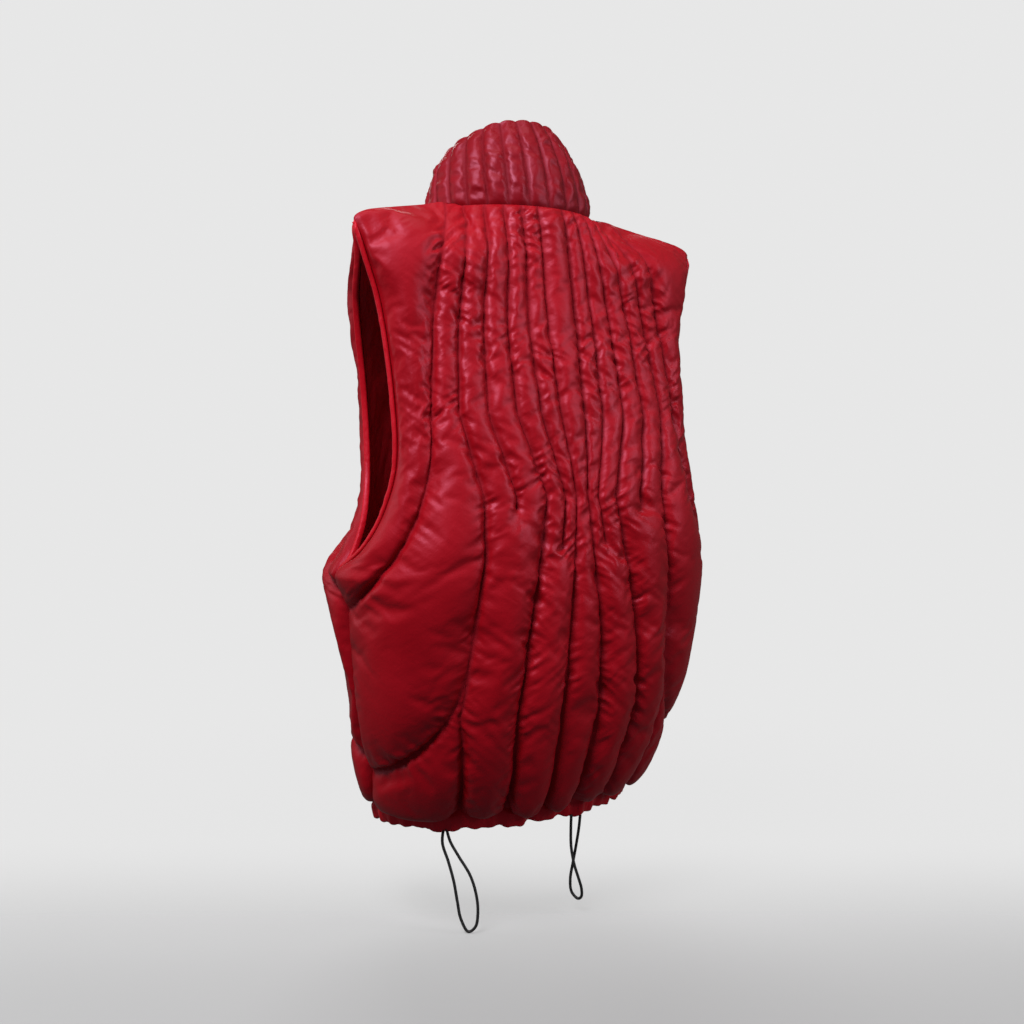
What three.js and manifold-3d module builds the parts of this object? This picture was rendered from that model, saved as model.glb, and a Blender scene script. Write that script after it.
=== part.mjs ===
// A sleeveless puffer vest, worn by nobody and filled out: quilted back and fronts, a quilted funnel
// collar, a gathered hem casing with two loops of elastic cord, bound armholes, a lining and a front zip.
// Millimetres. +X is the wearer's left, +Y the wearer's back and +Z up. The origin lies on the shoulder
// line, midway between the two points where the shoulder seams meet the collar.
import * as THREE from "three";
import { mergeVertices } from "three/addons/utils/BufferGeometryUtils.js";
import Module from "manifold-3d";

// Driving sizes
const SHOULDER_HALF = 207; // centre back to the outer end of a shoulder seam
const SHOULDER_DROP = 35; // how far that end lies below the neck point
const HEM_LEVEL = -602; // the seam between the body and the hem casing
const UNDERARM_LEVEL = -362;
const NECK = { halfWidth: 88, halfDepth: 72, centreY: -46, frontDrop: 78, pointAngle: 66 };
const ZIP_HALF = 7; // centre front to the edge of a front panel
const SEAM_WALL = 3.5; // wall at a line of stitching
const SEAM_GAP = 0.3; // between two pieces that are sewn together
const PUFF = { limit: 15, slope: 0.85 }; // greatest rise of the filling, and its rise per millimetre
const SHOULDER_PUFF = 9; // rise of both panels at the middle of a shoulder seam
const INSIDE_SETBACK = 2.4; // the plain inside ends this far short of a joint
const LINING_WALL = 1;
const CASING = { height: 19, wall: 5, gathers: 42, ripple: 2.6, scallop: 2.4 };
const BINDING = { near: 0.5, width: 5, outside: 1.8, inside: 4.6 };
const CORD_RADIUS = 1.5;

const DEGREE = Math.PI / 180;
const v3 = (x, y, z) => new THREE.Vector3(x, y, z);
const smooth = (t) => t * t * (3 - 2 * t);
const clamp01 = (t) => Math.min(1, Math.max(0, t));

// Sections across the back, from the shoulder seam down. Half is the half width, mid is on the centre
// back, edge is on the armhole or the side seam, sweep is how far round the body the section goes, and
// a square under 1 gives the section fuller corners.
const BACK_SECTIONS = [
  { level: -50, half: 197, yMid: 33, yEdge: 5, zMid: -47, zEdge: -60, sweep: 52, square: 1 },
  { level: -100, half: 183, yMid: 40, yEdge: 9, zMid: -98, zEdge: -104, sweep: 56, square: 1 },
  { level: -185, half: 176, yMid: 58, yEdge: 21, zMid: -185, zEdge: -187, sweep: 60, square: 0.97 },
  { level: -258, half: 177, yMid: 74, yEdge: 28, zMid: -258, zEdge: -258, sweep: 66, square: 0.92 },
  { level: -305, half: 187, yMid: 81, yEdge: 20, zMid: -305, zEdge: -305, sweep: 74, square: 0.87 },
  { level: -340, half: 199, yMid: 83, yEdge: 0, zMid: -340, zEdge: -340, sweep: 84, square: 0.84 },
  { level: -362, half: 207, yMid: 84, yEdge: -33, zMid: -362, zEdge: -362, sweep: 90, square: 0.83 },
  { level: -420, half: 192, yMid: 84, yEdge: -34, zMid: -420, zEdge: -420, sweep: 90, square: 0.82 },
  { level: -490, half: 180, yMid: 77, yEdge: -38, zMid: -490, zEdge: -490, sweep: 90, square: 0.82 },
  { level: -550, half: 167, yMid: 60, yEdge: -48, zMid: -550, zEdge: -550, sweep: 90, square: 0.9 },
  { level: HEM_LEVEL, half: 148, yMid: 32, yEdge: -60, zMid: -602, zEdge: -602, sweep: 90, square: 1 },
];

// The same for one front, from the zip to the armhole or the side seam.
const FRONT_SECTIONS = [
  { level: -50, half: 197, yMid: -119, yEdge: -12, zMid: -126, zEdge: -60, sweep: 44, square: 1 },
  { level: -100, half: 184, yMid: -126, yEdge: -42, zMid: -166, zEdge: -104, sweep: 48, square: 1 },
  { level: -185, half: 168, yMid: -134, yEdge: -58, zMid: -228, zEdge: -187, sweep: 52, square: 1 },
  { level: -258, half: 168, yMid: -140, yEdge: -52, zMid: -280, zEdge: -258, sweep: 58, square: 1 },
  { level: -305, half: 179, yMid: -142, yEdge: -38, zMid: -315, zEdge: -305, sweep: 68, square: 1 },
  { level: -340, half: 193, yMid: -143, yEdge: -33, zMid: -343, zEdge: -340, sweep: 84, square: 1 },
  { level: -362, half: 207, yMid: -143, yEdge: -33, zMid: -362, zEdge: -362, sweep: 90, square: 1 },
  { level: -420, half: 192, yMid: -143, yEdge: -34, zMid: -420, zEdge: -420, sweep: 90, square: 1 },
  { level: -490, half: 180, yMid: -143, yEdge: -38, zMid: -490, zEdge: -490, sweep: 90, square: 1 },
  { level: -550, half: 167, yMid: -142, yEdge: -48, zMid: -550, zEdge: -550, sweep: 90, square: 1 },
  { level: HEM_LEVEL, half: 148, yMid: -140, yEdge: -60, zMid: -602, zEdge: -602, sweep: 90, square: 1 },
];

// Stitched lines of the back: distance from the centre back, measured round the cloth, at each level.
const LINE_LEVELS = [0, -50, -130, -210, -290, -350, -420, -500, HEM_LEVEL];
const BACK_LINES = [
  { name: "first", across: [15, 16, 17, 14, 7, 12, 19, 22, 17], sewn: [[0, HEM_LEVEL]] },
  { name: "second", across: [32, 35, 39, 37, 20, 29, 40, 45, 36], sewn: [[0, -338]] },
  { name: "third", across: [50, 55, 63, 64, 42, 52, 64, 71, 57], sewn: [[0, HEM_LEVEL]] },
  { name: "fourth", across: [69, 77, 89, 94, 75, 80, 91, 98, 79], sewn: [[0, -302]] },
  { name: "fifth", across: [91, 101, 115, 123, 108, 110, 119, 126, 103], sewn: [[0, HEM_LEVEL]] },
  { name: "sixth", across: [116, 126, 140, 150, 148, 148, 152, 157, 130], sewn: [[0, -215]] },
];
// Lines that leave the channels and sweep round to the side seam.
const BACK_SWEEPS = [
  [[150, -215], [157, -262], [176, -316], [208, -362], [246, -394], [292, -408]],
  [[119, -420], [127, -470], [146, -514], [178, -546], [214, -562], [262, -570]],
];
const FRONT_LINES = [
  { name: "first", across: [30, 29, 28, 28, 28, 29, 31, 32, 27], sewn: [[0, HEM_LEVEL]] },
  { name: "second", across: [64, 60, 56, 57, 58, 60, 64, 65, 54], sewn: [[0, HEM_LEVEL]] },
  { name: "third", across: [100, 93, 86, 88, 90, 94, 99, 99, 82], sewn: [[0, HEM_LEVEL]] },
  { name: "fourth", across: [138, 128, 117, 120, 124, 130, 136, 134, 111], sewn: [[0, HEM_LEVEL]] },
  { name: "fifth", across: [178, 164, 149, 153, 160, 168, 174, 170, 140], sewn: [[0, -215]] },
];
const FRONT_SWEEPS = [
  [[153, -215], [164, -262], [188, -316], [222, -362], [258, -394], [300, -408]],
  [[136, -420], [144, -470], [163, -514], [196, -546], [232, -562], [280, -570]],
];

// The neck seam, at an angle from the centre back. Its front half falls away below the neck points.
function neckPoint(angle) {
  const forward = clamp01((Math.abs(angle) - NECK.pointAngle) / (180 - NECK.pointAngle));
  return v3(
    NECK.halfWidth * Math.sin(angle * DEGREE),
    NECK.centreY + NECK.halfDepth * Math.cos(angle * DEGREE),
    (-NECK.frontDrop * (1 - Math.cos(forward * Math.PI))) / 2,
  );
}
const FRONT_ANGLE = 180 - Math.asin(ZIP_HALF / NECK.halfWidth) / DEGREE;
const SHOULDER_TIP = v3(SHOULDER_HALF, 0, -SHOULDER_DROP);

// Length of a curve that is given by a function of 0 to 1.
function lengthOf(curve, steps = 48) {
  let sum = 0;
  for (let i = 0, last = curve(0); i < steps; i++) {
    const next = curve((i + 1) / steps);
    sum += next.distanceTo(last);
    last = next;
  }
  return sum;
}

// A panel's top edge: round the neck to the neck point, then out along the shoulder seam.
function topEdge(fromAngle) {
  const neck = (t) => neckPoint(fromAngle + (NECK.pointAngle - fromAngle) * t);
  const shoulder = (t) => neckPoint(NECK.pointAngle).lerp(SHOULDER_TIP, t);
  const neckShare = lengthOf(neck) / (lengthOf(neck) + lengthOf(shoulder));
  const curve = (s) =>
    s < neckShare ? neck(s / neckShare) : shoulder((s - neckShare) / (1 - neckShare));
  return { curve, neckShare };
}

function sectionCurve(section, startX) {
  const sweep = section.sweep * DEGREE;
  return (s) => {
    const bow = Math.max(0, (Math.cos(s * sweep) - Math.cos(sweep)) / (1 - Math.cos(sweep)));
    const reach = Math.sin(s * sweep) / Math.sin(sweep);
    return v3(
      startX + (section.half - startX) * reach ** section.square,
      section.yEdge + (section.yMid - section.yEdge) * bow ** section.square,
      section.zEdge + (section.zMid - section.zEdge) * bow,
    );
  };
}

// The same curve, run through at an even pace.
function evenPace(curve, steps = 160) {
  const points = Array.from({ length: steps + 1 }, (_, i) => curve(i / steps));
  const run = [0];
  for (let i = 1; i <= steps; i++) run.push(run[i - 1] + points[i].distanceTo(points[i - 1]));
  const length = run[steps];
  const even = (s) => {
    const i = Math.min(steps, Math.max(1, run.findIndex((r) => r >= s * length)));
    return points[i - 1].clone().lerp(points[i], (s * length - run[i - 1]) / (run[i] - run[i - 1]));
  };
  return { curve: even, length };
}

// One half of a garment panel, from its centre line (s = 0) to its side (s = 1), between levels.
function makePanel(sections, fromAngle, startX, lines, sweeps) {
  const top = topEdge(fromAngle);
  const rings = [{ level: 0, ...evenPace(top.curve) }].concat(
    sections.map((section) => ({ level: section.level, ...evenPace(sectionCurve(section, startX)) })),
  );
  const corner = rings.findIndex((ring) => ring.level === UNDERARM_LEVEL);

  // Smooth through the rings, each ring's slope taken from its neighbours. At the underarm the armhole
  // turns into the side seam, so there the slope is taken from one side only.
  function between(level, valueOf) {
    let i = rings.findIndex((ring, at) => at > 0 && level >= ring.level) - 1;
    if (i < 0) i = rings.length - 2;
    const slope = (before, after) => {
      const [a, b] = [rings[Math.max(0, before)], rings[Math.min(rings.length - 1, after)]];
      return valueOf(b).map((value, k) => (value - valueOf(a)[k]) / (b.level - a.level));
    };
    const span = rings[i + 1].level - rings[i].level;
    const t = (level - rings[i].level) / span;
    const terms = [
      [2 * t ** 3 - 3 * t ** 2 + 1, valueOf(rings[i])],
      [(t ** 3 - 2 * t ** 2 + t) * span, slope(i === corner ? i : i - 1, i + 1)],
      [-2 * t ** 3 + 3 * t ** 2, valueOf(rings[i + 1])],
      [(t ** 3 - t ** 2) * span, slope(i, i + 1 === corner ? i + 1 : i + 2)],
    ];
    return terms[0][1].map((_, k) => terms.reduce((sum, [weight, value]) => sum + weight * value[k], 0));
  }
  const point = (s, level) => {
    const p = v3(...between(level, (ring) => ring.curve(Math.abs(s)).toArray()));
    return s < 0 ? p.setX(-p.x) : p;
  };
  const width = (level) => between(level, (ring) => [ring.length])[0];
  const normal = (s, level) => {
    const ds = s > 0.99 ? -0.004 : 0.004;
    const dl = level < HEM_LEVEL + 3 || (level < UNDERARM_LEVEL + 3 && level > UNDERARM_LEVEL) ? 2 : -2;
    const here = point(s, level);
    const across = point(s + ds, level).sub(here).multiplyScalar(Math.sign(ds));
    const down = point(s, level + dl).sub(here).multiplyScalar(-Math.sign(dl));
    const n = across.cross(down).normalize();
    return n.y * (startX ? -1 : 1) + n.x * Math.sign(s) < 0 ? n.negate() : n;
  };
  return { top, point, width, normal, startX, lines, stitches: stitchesOf(lines, sweeps), sweeps };
}

// The distance across at a level, smooth through a line's table.
function acrossAt(line, level) {
  let i = LINE_LEVELS.findIndex((l, at) => at > 0 && level >= l) - 1;
  if (i < 0) i = LINE_LEVELS.length - 2;
  return line.across[i] + (line.across[i + 1] - line.across[i]) *
    clamp01((level - LINE_LEVELS[i]) / (LINE_LEVELS[i + 1] - LINE_LEVELS[i]));
}

// A smooth run of points through the corners of a sweep.
function smoothRun(corners, count = 24) {
  const curve = new THREE.CatmullRomCurve3(corners.map(([u, w]) => v3(u, w, 0)), false, "centripetal");
  return curve.getPoints(count).map((p) => [p.x, p.y]);
}

function stitchesOf(lines, sweeps) {
  const step = 12;
  const runs = lines.flatMap((line) =>
    line.sewn.map(([high, low]) => {
      const count = Math.ceil((high - low) / step);
      return Array.from({ length: count + 1 }, (_, i) => {
        const level = high + ((low - high) * i) / count;
        return [acrossAt(line, level), level];
      });
    }),
  );
  return runs.concat(sweeps.map((corners) => smoothRun(corners)));
}

function distanceToRun(run, u, w) {
  let best = Infinity;
  for (let i = 1; i < run.length; i++) {
    const [ax, ay] = run[i - 1];
    const [dx, dy] = [run[i][0] - ax, run[i][1] - ay];
    const t = clamp01(((u - ax) * dx + (w - ay) * dy) / (dx * dx + dy * dy));
    best = Math.min(best, Math.hypot(u - ax - t * dx, w - ay - t * dy));
  }
  return best;
}

// How far the filling lifts the cloth, from the distances to the two nearest stitched lines or edges.
function lift(distances) {
  const [near, next] = distances.sort((a, b) => a - b);
  const free = Math.sqrt(Math.max(0, near) * next);
  return PUFF.limit * Math.tanh((PUFF.slope * free) / PUFF.limit);
}

// The rise of both panels along a shoulder seam, from the neck point (0) to its outer end (1).
const shoulderLift = (t) => SHOULDER_PUFF * Math.sqrt(Math.max(0, 4 * t * (1 - t)));

function panelLift(panel, s, level) {
  const width = panel.width(level);
  const u = Math.abs(s) * width;
  const neckEnd = panel.top.neckShare * width;
  const distances = panel.stitches.map((run) => distanceToRun(run, u, level));
  // The centre back has no line of its own, so the far half's first line bounds the centre channel too.
  distances.push(panel.startX ? u : distanceToRun(panel.stitches[0], -u, level));
  // The filling thins out towards the armhole.
  const side = (width - u) * (level > UNDERARM_LEVEL ? 0.5 : 1);
  distances.push(Math.hypot(Math.max(0, u - neckEnd), level), side, level - HEM_LEVEL);
  const rise = lift(distances);
  if (u <= neckEnd) return rise;
  const away = smooth(Math.min(1, -level / 90));
  return away * rise + (1 - away) * shoulderLift((u - neckEnd) / (width - neckEnd));
}

const every = (grid) => ({ rows: grid.map((_, r) => r), columns: grid[0].map((_, c) => c) });

// A closed wall between an outer grid and an inner one that keeps only some of its rows and columns.
function wallGeometry(outer, inner, kept, onSeam = () => false) {
  const vertices = [];
  const indexOf = new Map();
  const faces = [];
  const id = (p) => {
    if (!indexOf.has(p)) {
      indexOf.set(p, vertices.length / 3);
      vertices.push(p.x, p.y, p.z);
    }
    return indexOf.get(p);
  };
  const face = (a, b, c) => faces.push(id(a), id(b), id(c));
  const skin = (grid, flip) => {
    for (let r = 1; r < grid.length; r++)
      for (let c = 1; c < grid[r].length; c++) {
        const [a, b, d, e] = [grid[r - 1][c - 1], grid[r - 1][c], grid[r][c - 1], grid[r][c]];
        const turned = !onSeam(a, e) && onSeam(b, d);
        const pair = turned ? [[a, b, d], [b, e, d]] : [[a, b, e], [a, e, d]];
        pair.forEach(([p, q, t]) => (flip ? face(p, t, q) : face(p, q, t)));
      }
  };
  const strip = (fine, plain, places) => {
    for (let j = 1; j < plain.length; j++) {
      const half = Math.floor((places[j - 1] + places[j]) / 2);
      for (let i = places[j - 1]; i < half; i++) face(fine[i], plain[j - 1], fine[i + 1]);
      face(fine[half], plain[j - 1], plain[j]);
      for (let i = half; i < places[j]; i++) face(fine[i], plain[j], fine[i + 1]);
    }
  };
  const rim = (grid) => [
    grid[0],
    grid.map((row) => row[row.length - 1]),
    [...grid[grid.length - 1]].reverse(),
    grid.map((row) => row[0]).reverse(),
  ];
  const backwards = (places) => [...places].reverse().map((i) => places[places.length - 1] - i);
  const places = [kept.columns, kept.rows, backwards(kept.columns), backwards(kept.rows)];
  skin(outer, false);
  skin(inner, true);
  const [outerRim, innerRim] = [rim(outer), rim(inner)];
  outerRim.forEach((side, k) => strip(side, innerRim[k], places[k]));
  return facingOut(vertices, faces);
}

// An indexed geometry whose faces point out of the solid that they close.
function facingOut(vertices, faces) {
  const p = (i) => v3(vertices[3 * i], vertices[3 * i + 1], vertices[3 * i + 2]);
  let volume = 0;
  for (let i = 0; i < faces.length; i += 3)
    volume += p(faces[i]).dot(p(faces[i + 1]).cross(p(faces[i + 2])));
  if (volume < 0)
    for (let i = 0; i < faces.length; i += 3) [faces[i + 1], faces[i + 2]] = [faces[i + 2], faces[i + 1]];
  const geometry = new THREE.BufferGeometry();
  geometry.setAttribute("position", new THREE.Float32BufferAttribute(vertices, 3));
  geometry.setIndex(faces);
  return geometry;
}

// The kept rows and columns of a grid, as new points that a function makes.
const plainer = (grid, kept, move) => kept.rows.map((r) => kept.columns.map((c) => move(grid[r][c])));
const everyNth = (count, n) => Array.from({ length: Math.floor((count - 1) / n) + 1 }, (_, i) => i * n);

const MATERIALS = {
  shell: new THREE.MeshStandardMaterial({ color: 0x8e0a1a, roughness: 0.42, metalness: 0 }),
  lining: new THREE.MeshStandardMaterial({ color: 0x4a0610, roughness: 0.5, metalness: 0 }),
  tape: new THREE.MeshStandardMaterial({ color: 0x6d0a16, roughness: 0.8, metalness: 0 }),
  metal: new THREE.MeshStandardMaterial({ color: 0x2a2a2c, roughness: 0.35, metalness: 0.9 }),
  cord: new THREE.MeshStandardMaterial({ color: 0x101011, roughness: 0.8, metalness: 0 }),
};
const vest = new THREE.Group();
function addPiece(name, geometry, material) {
  const mesh = new THREE.Mesh(geometry, material);
  mesh.name = name;
  vest.add(mesh);
  return mesh;
}

// Levels of the rows of a panel: close under the shoulder, then even. One row lies at the underarm. The
// plain inside keeps only some of them.
const ROW_LEVELS = [0, -9, -26, -50, -74, -98, -122, -146, -170, -194, -218, -242, -266, -290, -314,
  -338, UNDERARM_LEVEL, -386, -410, -434, -458, -482, -506, -528, -550, -572, -589, HEM_LEVEL];
const PLAIN_LEVELS = [0, -26, -50, -98, -146, -194, -242, -266, -290, -314, -338, UNDERARM_LEVEL, -434, -506,
  -572, HEM_LEVEL];
const COLUMNS_PER_CHANNEL = 4;
const SIDE_COLUMNS = 8;

// Column places of one half at a level, as distances across: the lines, and even steps between them.
// A column that a sweep passes close to is moved onto it.
function columnsAt(panel, level) {
  const width = panel.width(level);
  const stops = [0, ...panel.lines.map((line) => acrossAt(line, level)), width];
  const columns = [{ u: 0, sewn: false }];
  for (let k = 1; k < stops.length; k++) {
    const last = k === stops.length - 1;
    const first = k === 1 && !panel.startX;
    const count = last ? SIDE_COLUMNS : first ? COLUMNS_PER_CHANNEL / 2 : COLUMNS_PER_CHANNEL;
    for (let i = 1; i <= count; i++)
      columns.push({ u: stops[k - 1] + ((stops[k] - stops[k - 1]) * i) / count, sewn: i === count });
  }
  for (const corners of panel.sweeps) {
    const run = smoothRun(corners, 60);
    const cross = run.findIndex(([, w], i) => i > 0 && (w - level) * (run[i - 1][1] - level) <= 0);
    if (cross < 1) continue;
    const [[u0, w0], [u1, w1]] = [run[cross - 1], run[cross]];
    const u = u0 + ((u1 - u0) * (level - w0)) / (w1 - w0);
    const inner = columns.slice(1, -1);
    const nearest = inner.reduce((a, b) => (Math.abs(b.u - u) < Math.abs(a.u - u) ? b : a));
    if (u < width - 2 && Math.abs(nearest.u - u) < 12) Object.assign(nearest, { u, swept: true });
  }
  return columns.map((column) => ({ ...column, s: column.u / width }));
}

// The way into the wall at an edge that two pieces share, so that neither crosses into the other.
function sharedInward(panel, s, level) {
  const side = Math.sign(s) || 1;
  if (level === 0) {
    if (Math.abs(s) >= panel.top.neckShare) return v3(0, 0, -1);
    return neckInward(panel.point(s, 0));
  }
  if (level === HEM_LEVEL) return panel.normal(s, level).negate().setZ(0).normalize();
  if (Math.abs(s) === 1 && level <= UNDERARM_LEVEL) return v3(-side, 0, 0);
  if (panel.startX && s === 0) return v3(0, 1, 0);
  const inward = panel.normal(s, level).negate();
  if (Math.abs(s) < 1) return inward;
  // Along the armhole it turns evenly from that of the shoulder to that of the side seam.
  inward.lerp(v3(0, 0, -1), 1 - smooth(Math.min(1, -level / 16)));
  return inward.lerp(v3(-side, 0, 0), 1 - smooth(Math.min(1, (level - UNDERARM_LEVEL) / 72))).normalize();
}

// The points of a whole panel. Each has its way out and in, and the way back from any joint beside it.
function panelGrids(panel, halves) {
  const base = ROW_LEVELS.map((level) => {
    const half = columnsAt(panel, level);
    const other = half.slice(1).reverse().map((column) => ({ ...column, s: -column.s }));
    return (halves === 2 ? [...other, ...half] : half).map(({ s, swept }) => ({
      at: panel.point(s, level),
      out: level === 0 && Math.abs(s) >= panel.top.neckShare ? v3(0, 0, 1) : panel.normal(s, level),
      inward: sharedInward(panel, s, level),
      rise: swept ? 0 : panelLift(panel, s, level),
      sewn: swept || Math.abs(s) === 1,
      back: v3(0, 0, 0),
    }));
  });
  const last = { row: base.length - 1, column: base[0].length - 1 };
  base.forEach((row, r) => row.forEach((p, c) => {
    const from = (q) => p.back.add(q.at.clone().sub(p.at).normalize());
    if (r === 0) from(base[1][c]);
    if (r === last.row) from(base[r - 1][c]);
    if (c === 0) from(row[1]);
    if (c === last.column) from(row[c - 1]);
  }));
  const outer = base.map((row) => row.map((p) => {
    const place = p.at.clone().addScaledVector(p.back, SEAM_GAP / 2 + 0.05).addScaledVector(p.out, p.rise);
    return Object.assign(place, { sewn: p.sewn });
  }));
  const kept = {
    rows: PLAIN_LEVELS.map((level) => ROW_LEVELS.indexOf(level)),
    columns: everyNth(base[0].length, COLUMNS_PER_CHANNEL),
  };
  const layer = (depth, setback) => plainer(base, kept, (p) =>
    p.at.clone().addScaledVector(p.back, setback).addScaledVector(p.inward, depth));
  return { outer, layer, kept };
}

const back = makePanel(BACK_SECTIONS, 0, 0, BACK_LINES, BACK_SWEEPS);
const front = makePanel(FRONT_SECTIONS, FRONT_ANGLE, ZIP_HALF, FRONT_LINES, FRONT_SWEEPS);

const alongSeam = (a, b) => a.sewn && b.sewn;
const mirrored = (grid) => grid.map((row) => row.map((p) =>
  Object.assign(v3(-p.x, p.y, p.z), { sewn: p.sewn })));

function addBody() {
  const liningDepth = SEAM_WALL + SEAM_GAP;
  const panels = [
    { name: "back", grids: panelGrids(back, 2), turn: (grid) => grid },
    { name: "front_left", grids: panelGrids(front, 1), turn: (grid) => grid },
    { name: "front_right", grids: panelGrids(front, 1), turn: mirrored },
  ];
  for (const { name, grids, turn } of panels) {
    const inner = turn(grids.layer(SEAM_WALL, INSIDE_SETBACK));
    addPiece(name, wallGeometry(turn(grids.outer), inner, grids.kept, alongSeam), MATERIALS.shell);
    // The two linings end below the shoulder seam, where the panels come too close to each other.
    const face = turn(grids.layer(liningDepth, INSIDE_SETBACK)).slice(1);
    const reverse = turn(grids.layer(liningDepth + LINING_WALL, INSIDE_SETBACK)).slice(1);
    addPiece(`lining_${name}`, wallGeometry(face, reverse, every(face)), MATERIALS.lining);
  }
}

// Collar: a funnel from the neck seam to a narrower rim, its channels in line with those of the back.
const RIM = {
  halfWidth: 67, backDepth: 64, frontDepth: 45, centreY: -73,
  backHeight: 93, frontHeight: 8, fall: 0.78,
};
const COLLAR = { channels: 24, rows: 4, puff: 6.5, belly: 5 };
const RIM_ANGLE = 180 - Math.asin(ZIP_HALF / RIM.halfWidth) / DEGREE;
function rimPoint(angle) {
  const share = ((1 + Math.cos(angle * DEGREE)) / 2) ** RIM.fall;
  const depth = Math.abs(angle) < 90 ? RIM.backDepth : RIM.frontDepth;
  return v3(
    RIM.halfWidth * Math.sin(angle * DEGREE),
    RIM.centreY + depth * Math.cos(angle * DEGREE),
    RIM.frontHeight + (RIM.backHeight - RIM.frontHeight) * share,
  );
}
const awayFromAxis = (p, centreY) => v3(p.x, p.y - centreY, 0).normalize();
// Turn goes from the right front edge (-1) by the back (0) to the left front edge (1).
function collarPoint(turn, height) {
  const p = neckPoint(turn * FRONT_ANGLE).lerp(rimPoint(turn * RIM_ANGLE), height);
  const belly = COLLAR.belly * Math.sin(Math.PI * height) * (1 - Math.abs(turn) ** 6);
  return p.addScaledVector(awayFromAxis(p, RIM.centreY), belly);
}
function collarNormal(turn, height) {
  const here = collarPoint(turn, height);
  const along = collarPoint(turn + 0.004, height).sub(collarPoint(turn - 0.004, height));
  const up = collarPoint(turn, height + 0.02).sub(here);
  const normal = along.cross(up).normalize();
  return normal.dot(awayFromAxis(here, RIM.centreY)) < 0 ? normal.negate() : normal;
}
// Into the wall at the neck seam, the same for the collar and the panels under it.
const neckInward = (p) =>
  awayFromAxis(p, NECK.centreY).multiplyScalar(-0.75).add(v3(0, 0, -0.66)).normalize();

function addCollar() {
  const columns = COLLAR.channels * COLUMNS_PER_CHANNEL;
  const base = Array.from({ length: COLLAR.rows + 1 }, (_, r) => {
    const height = r / COLLAR.rows;
    return Array.from({ length: columns + 1 }, (_, c) => {
      const turn = (2 * c) / columns - 1;
      const phase = (c % COLUMNS_PER_CHANNEL) / COLUMNS_PER_CHANNEL;
      const fade = Math.min(1, 1.3 * Math.sqrt(Math.sin(Math.PI * 0.94 * height)));
      const at = collarPoint(turn, height);
      const out = collarNormal(turn, height);
      const end = c === 0 || c === columns;
      const inward = end ? v3(0, 1, 0) : r === 0 ? neckInward(at) : out.clone().negate();
      return { at, out, inward, rise: COLLAR.puff * 2 * Math.sqrt(phase * (1 - phase)) * fade };
    });
  });
  // The foot stands clear of the neck seam, more so inside.
  const raise = (p, r, c, by) => r > 0 ? p : p.addScaledVector(
    base[1][c].at.clone().sub(base[0][c].at).normalize(), by);
  const outer = base.map((row, r) => row.map((p, c) =>
    raise(p.at.clone().addScaledVector(p.out, p.rise), r, c, SEAM_GAP / 2 + 0.05)));
  const kept = {
    rows: [0, COLLAR.rows / 2, COLLAR.rows],
    columns: everyNth(columns + 1, COLUMNS_PER_CHANNEL),
  };
  const inner = kept.rows.map((r) => kept.columns.map((c) =>
    raise(base[r][c].at.clone().addScaledVector(base[r][c].inward, SEAM_WALL), r, c, INSIDE_SETBACK)));
  addPiece("collar", wallGeometry(outer, inner, kept), MATERIALS.shell);
}

// The hem line all round, from the left front edge (0) by the back to the right front edge (1).
const HEM_SHARES = { front: front.width(HEM_LEVEL), back: back.width(HEM_LEVEL) };
function hemPoint(t) {
  const side = t < 0.5 ? 1 : -1;
  const run = Math.min(t, 1 - t) * 2 * (HEM_SHARES.front + HEM_SHARES.back);
  const p = run < HEM_SHARES.front
    ? front.point(run / HEM_SHARES.front, HEM_LEVEL)
    : back.point(1 - (run - HEM_SHARES.front) / HEM_SHARES.back, HEM_LEVEL);
  return p.setX(side * p.x);
}
function hemOut(t) {
  const along = hemPoint(Math.min(1, t + 0.002)).sub(hemPoint(Math.max(0, t - 0.002)));
  const out = v3(along.y, -along.x, 0).normalize();
  return out.dot(hemPoint(t).sub(v3(0, -52, HEM_LEVEL))) < 0 ? out.negate() : out;
}
// Rows of the casing: depth below the hem line, and how far the gathers stand out there.
const CASING_ROWS = [
  { drop: SEAM_GAP, out: 0, gather: 0 },
  { drop: 9, out: 3.2, gather: 1 },
  { drop: CASING.height, out: 0.6, gather: 0.7 },
];
// Uneven gathers: the wave's phase runs ahead and falls behind.
const gather = (t) => Math.cos(2 * Math.PI * CASING.gathers * t + 0.6 * Math.sin(2 * Math.PI * 7 * t));
const casingDrop = (t) => CASING.height + CASING.scallop * gather(t);
function addCasing() {
  const columns = CASING.gathers * 4;
  const outer = CASING_ROWS.map((row, r) => Array.from({ length: columns + 1 }, (_, c) => {
    const t = c / columns;
    const drop = r === CASING_ROWS.length - 1 ? casingDrop(t) : row.drop;
    return hemPoint(t).add(v3(0, 0, -drop))
      .addScaledVector(hemOut(t), row.out + CASING.ripple * row.gather * gather(t));
  }));
  const kept = { rows: [0, CASING_ROWS.length - 1], columns: everyNth(columns + 1, 4) };
  const inner = kept.rows.map((r) => kept.columns.map((c) =>
    hemPoint(c / columns).add(v3(0, 0, -CASING_ROWS[r].drop))
      .addScaledVector(hemOut(c / columns), -CASING.wall)));
  addPiece("hem_casing", wallGeometry(outer, inner, kept), MATERIALS.shell);
}

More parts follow.
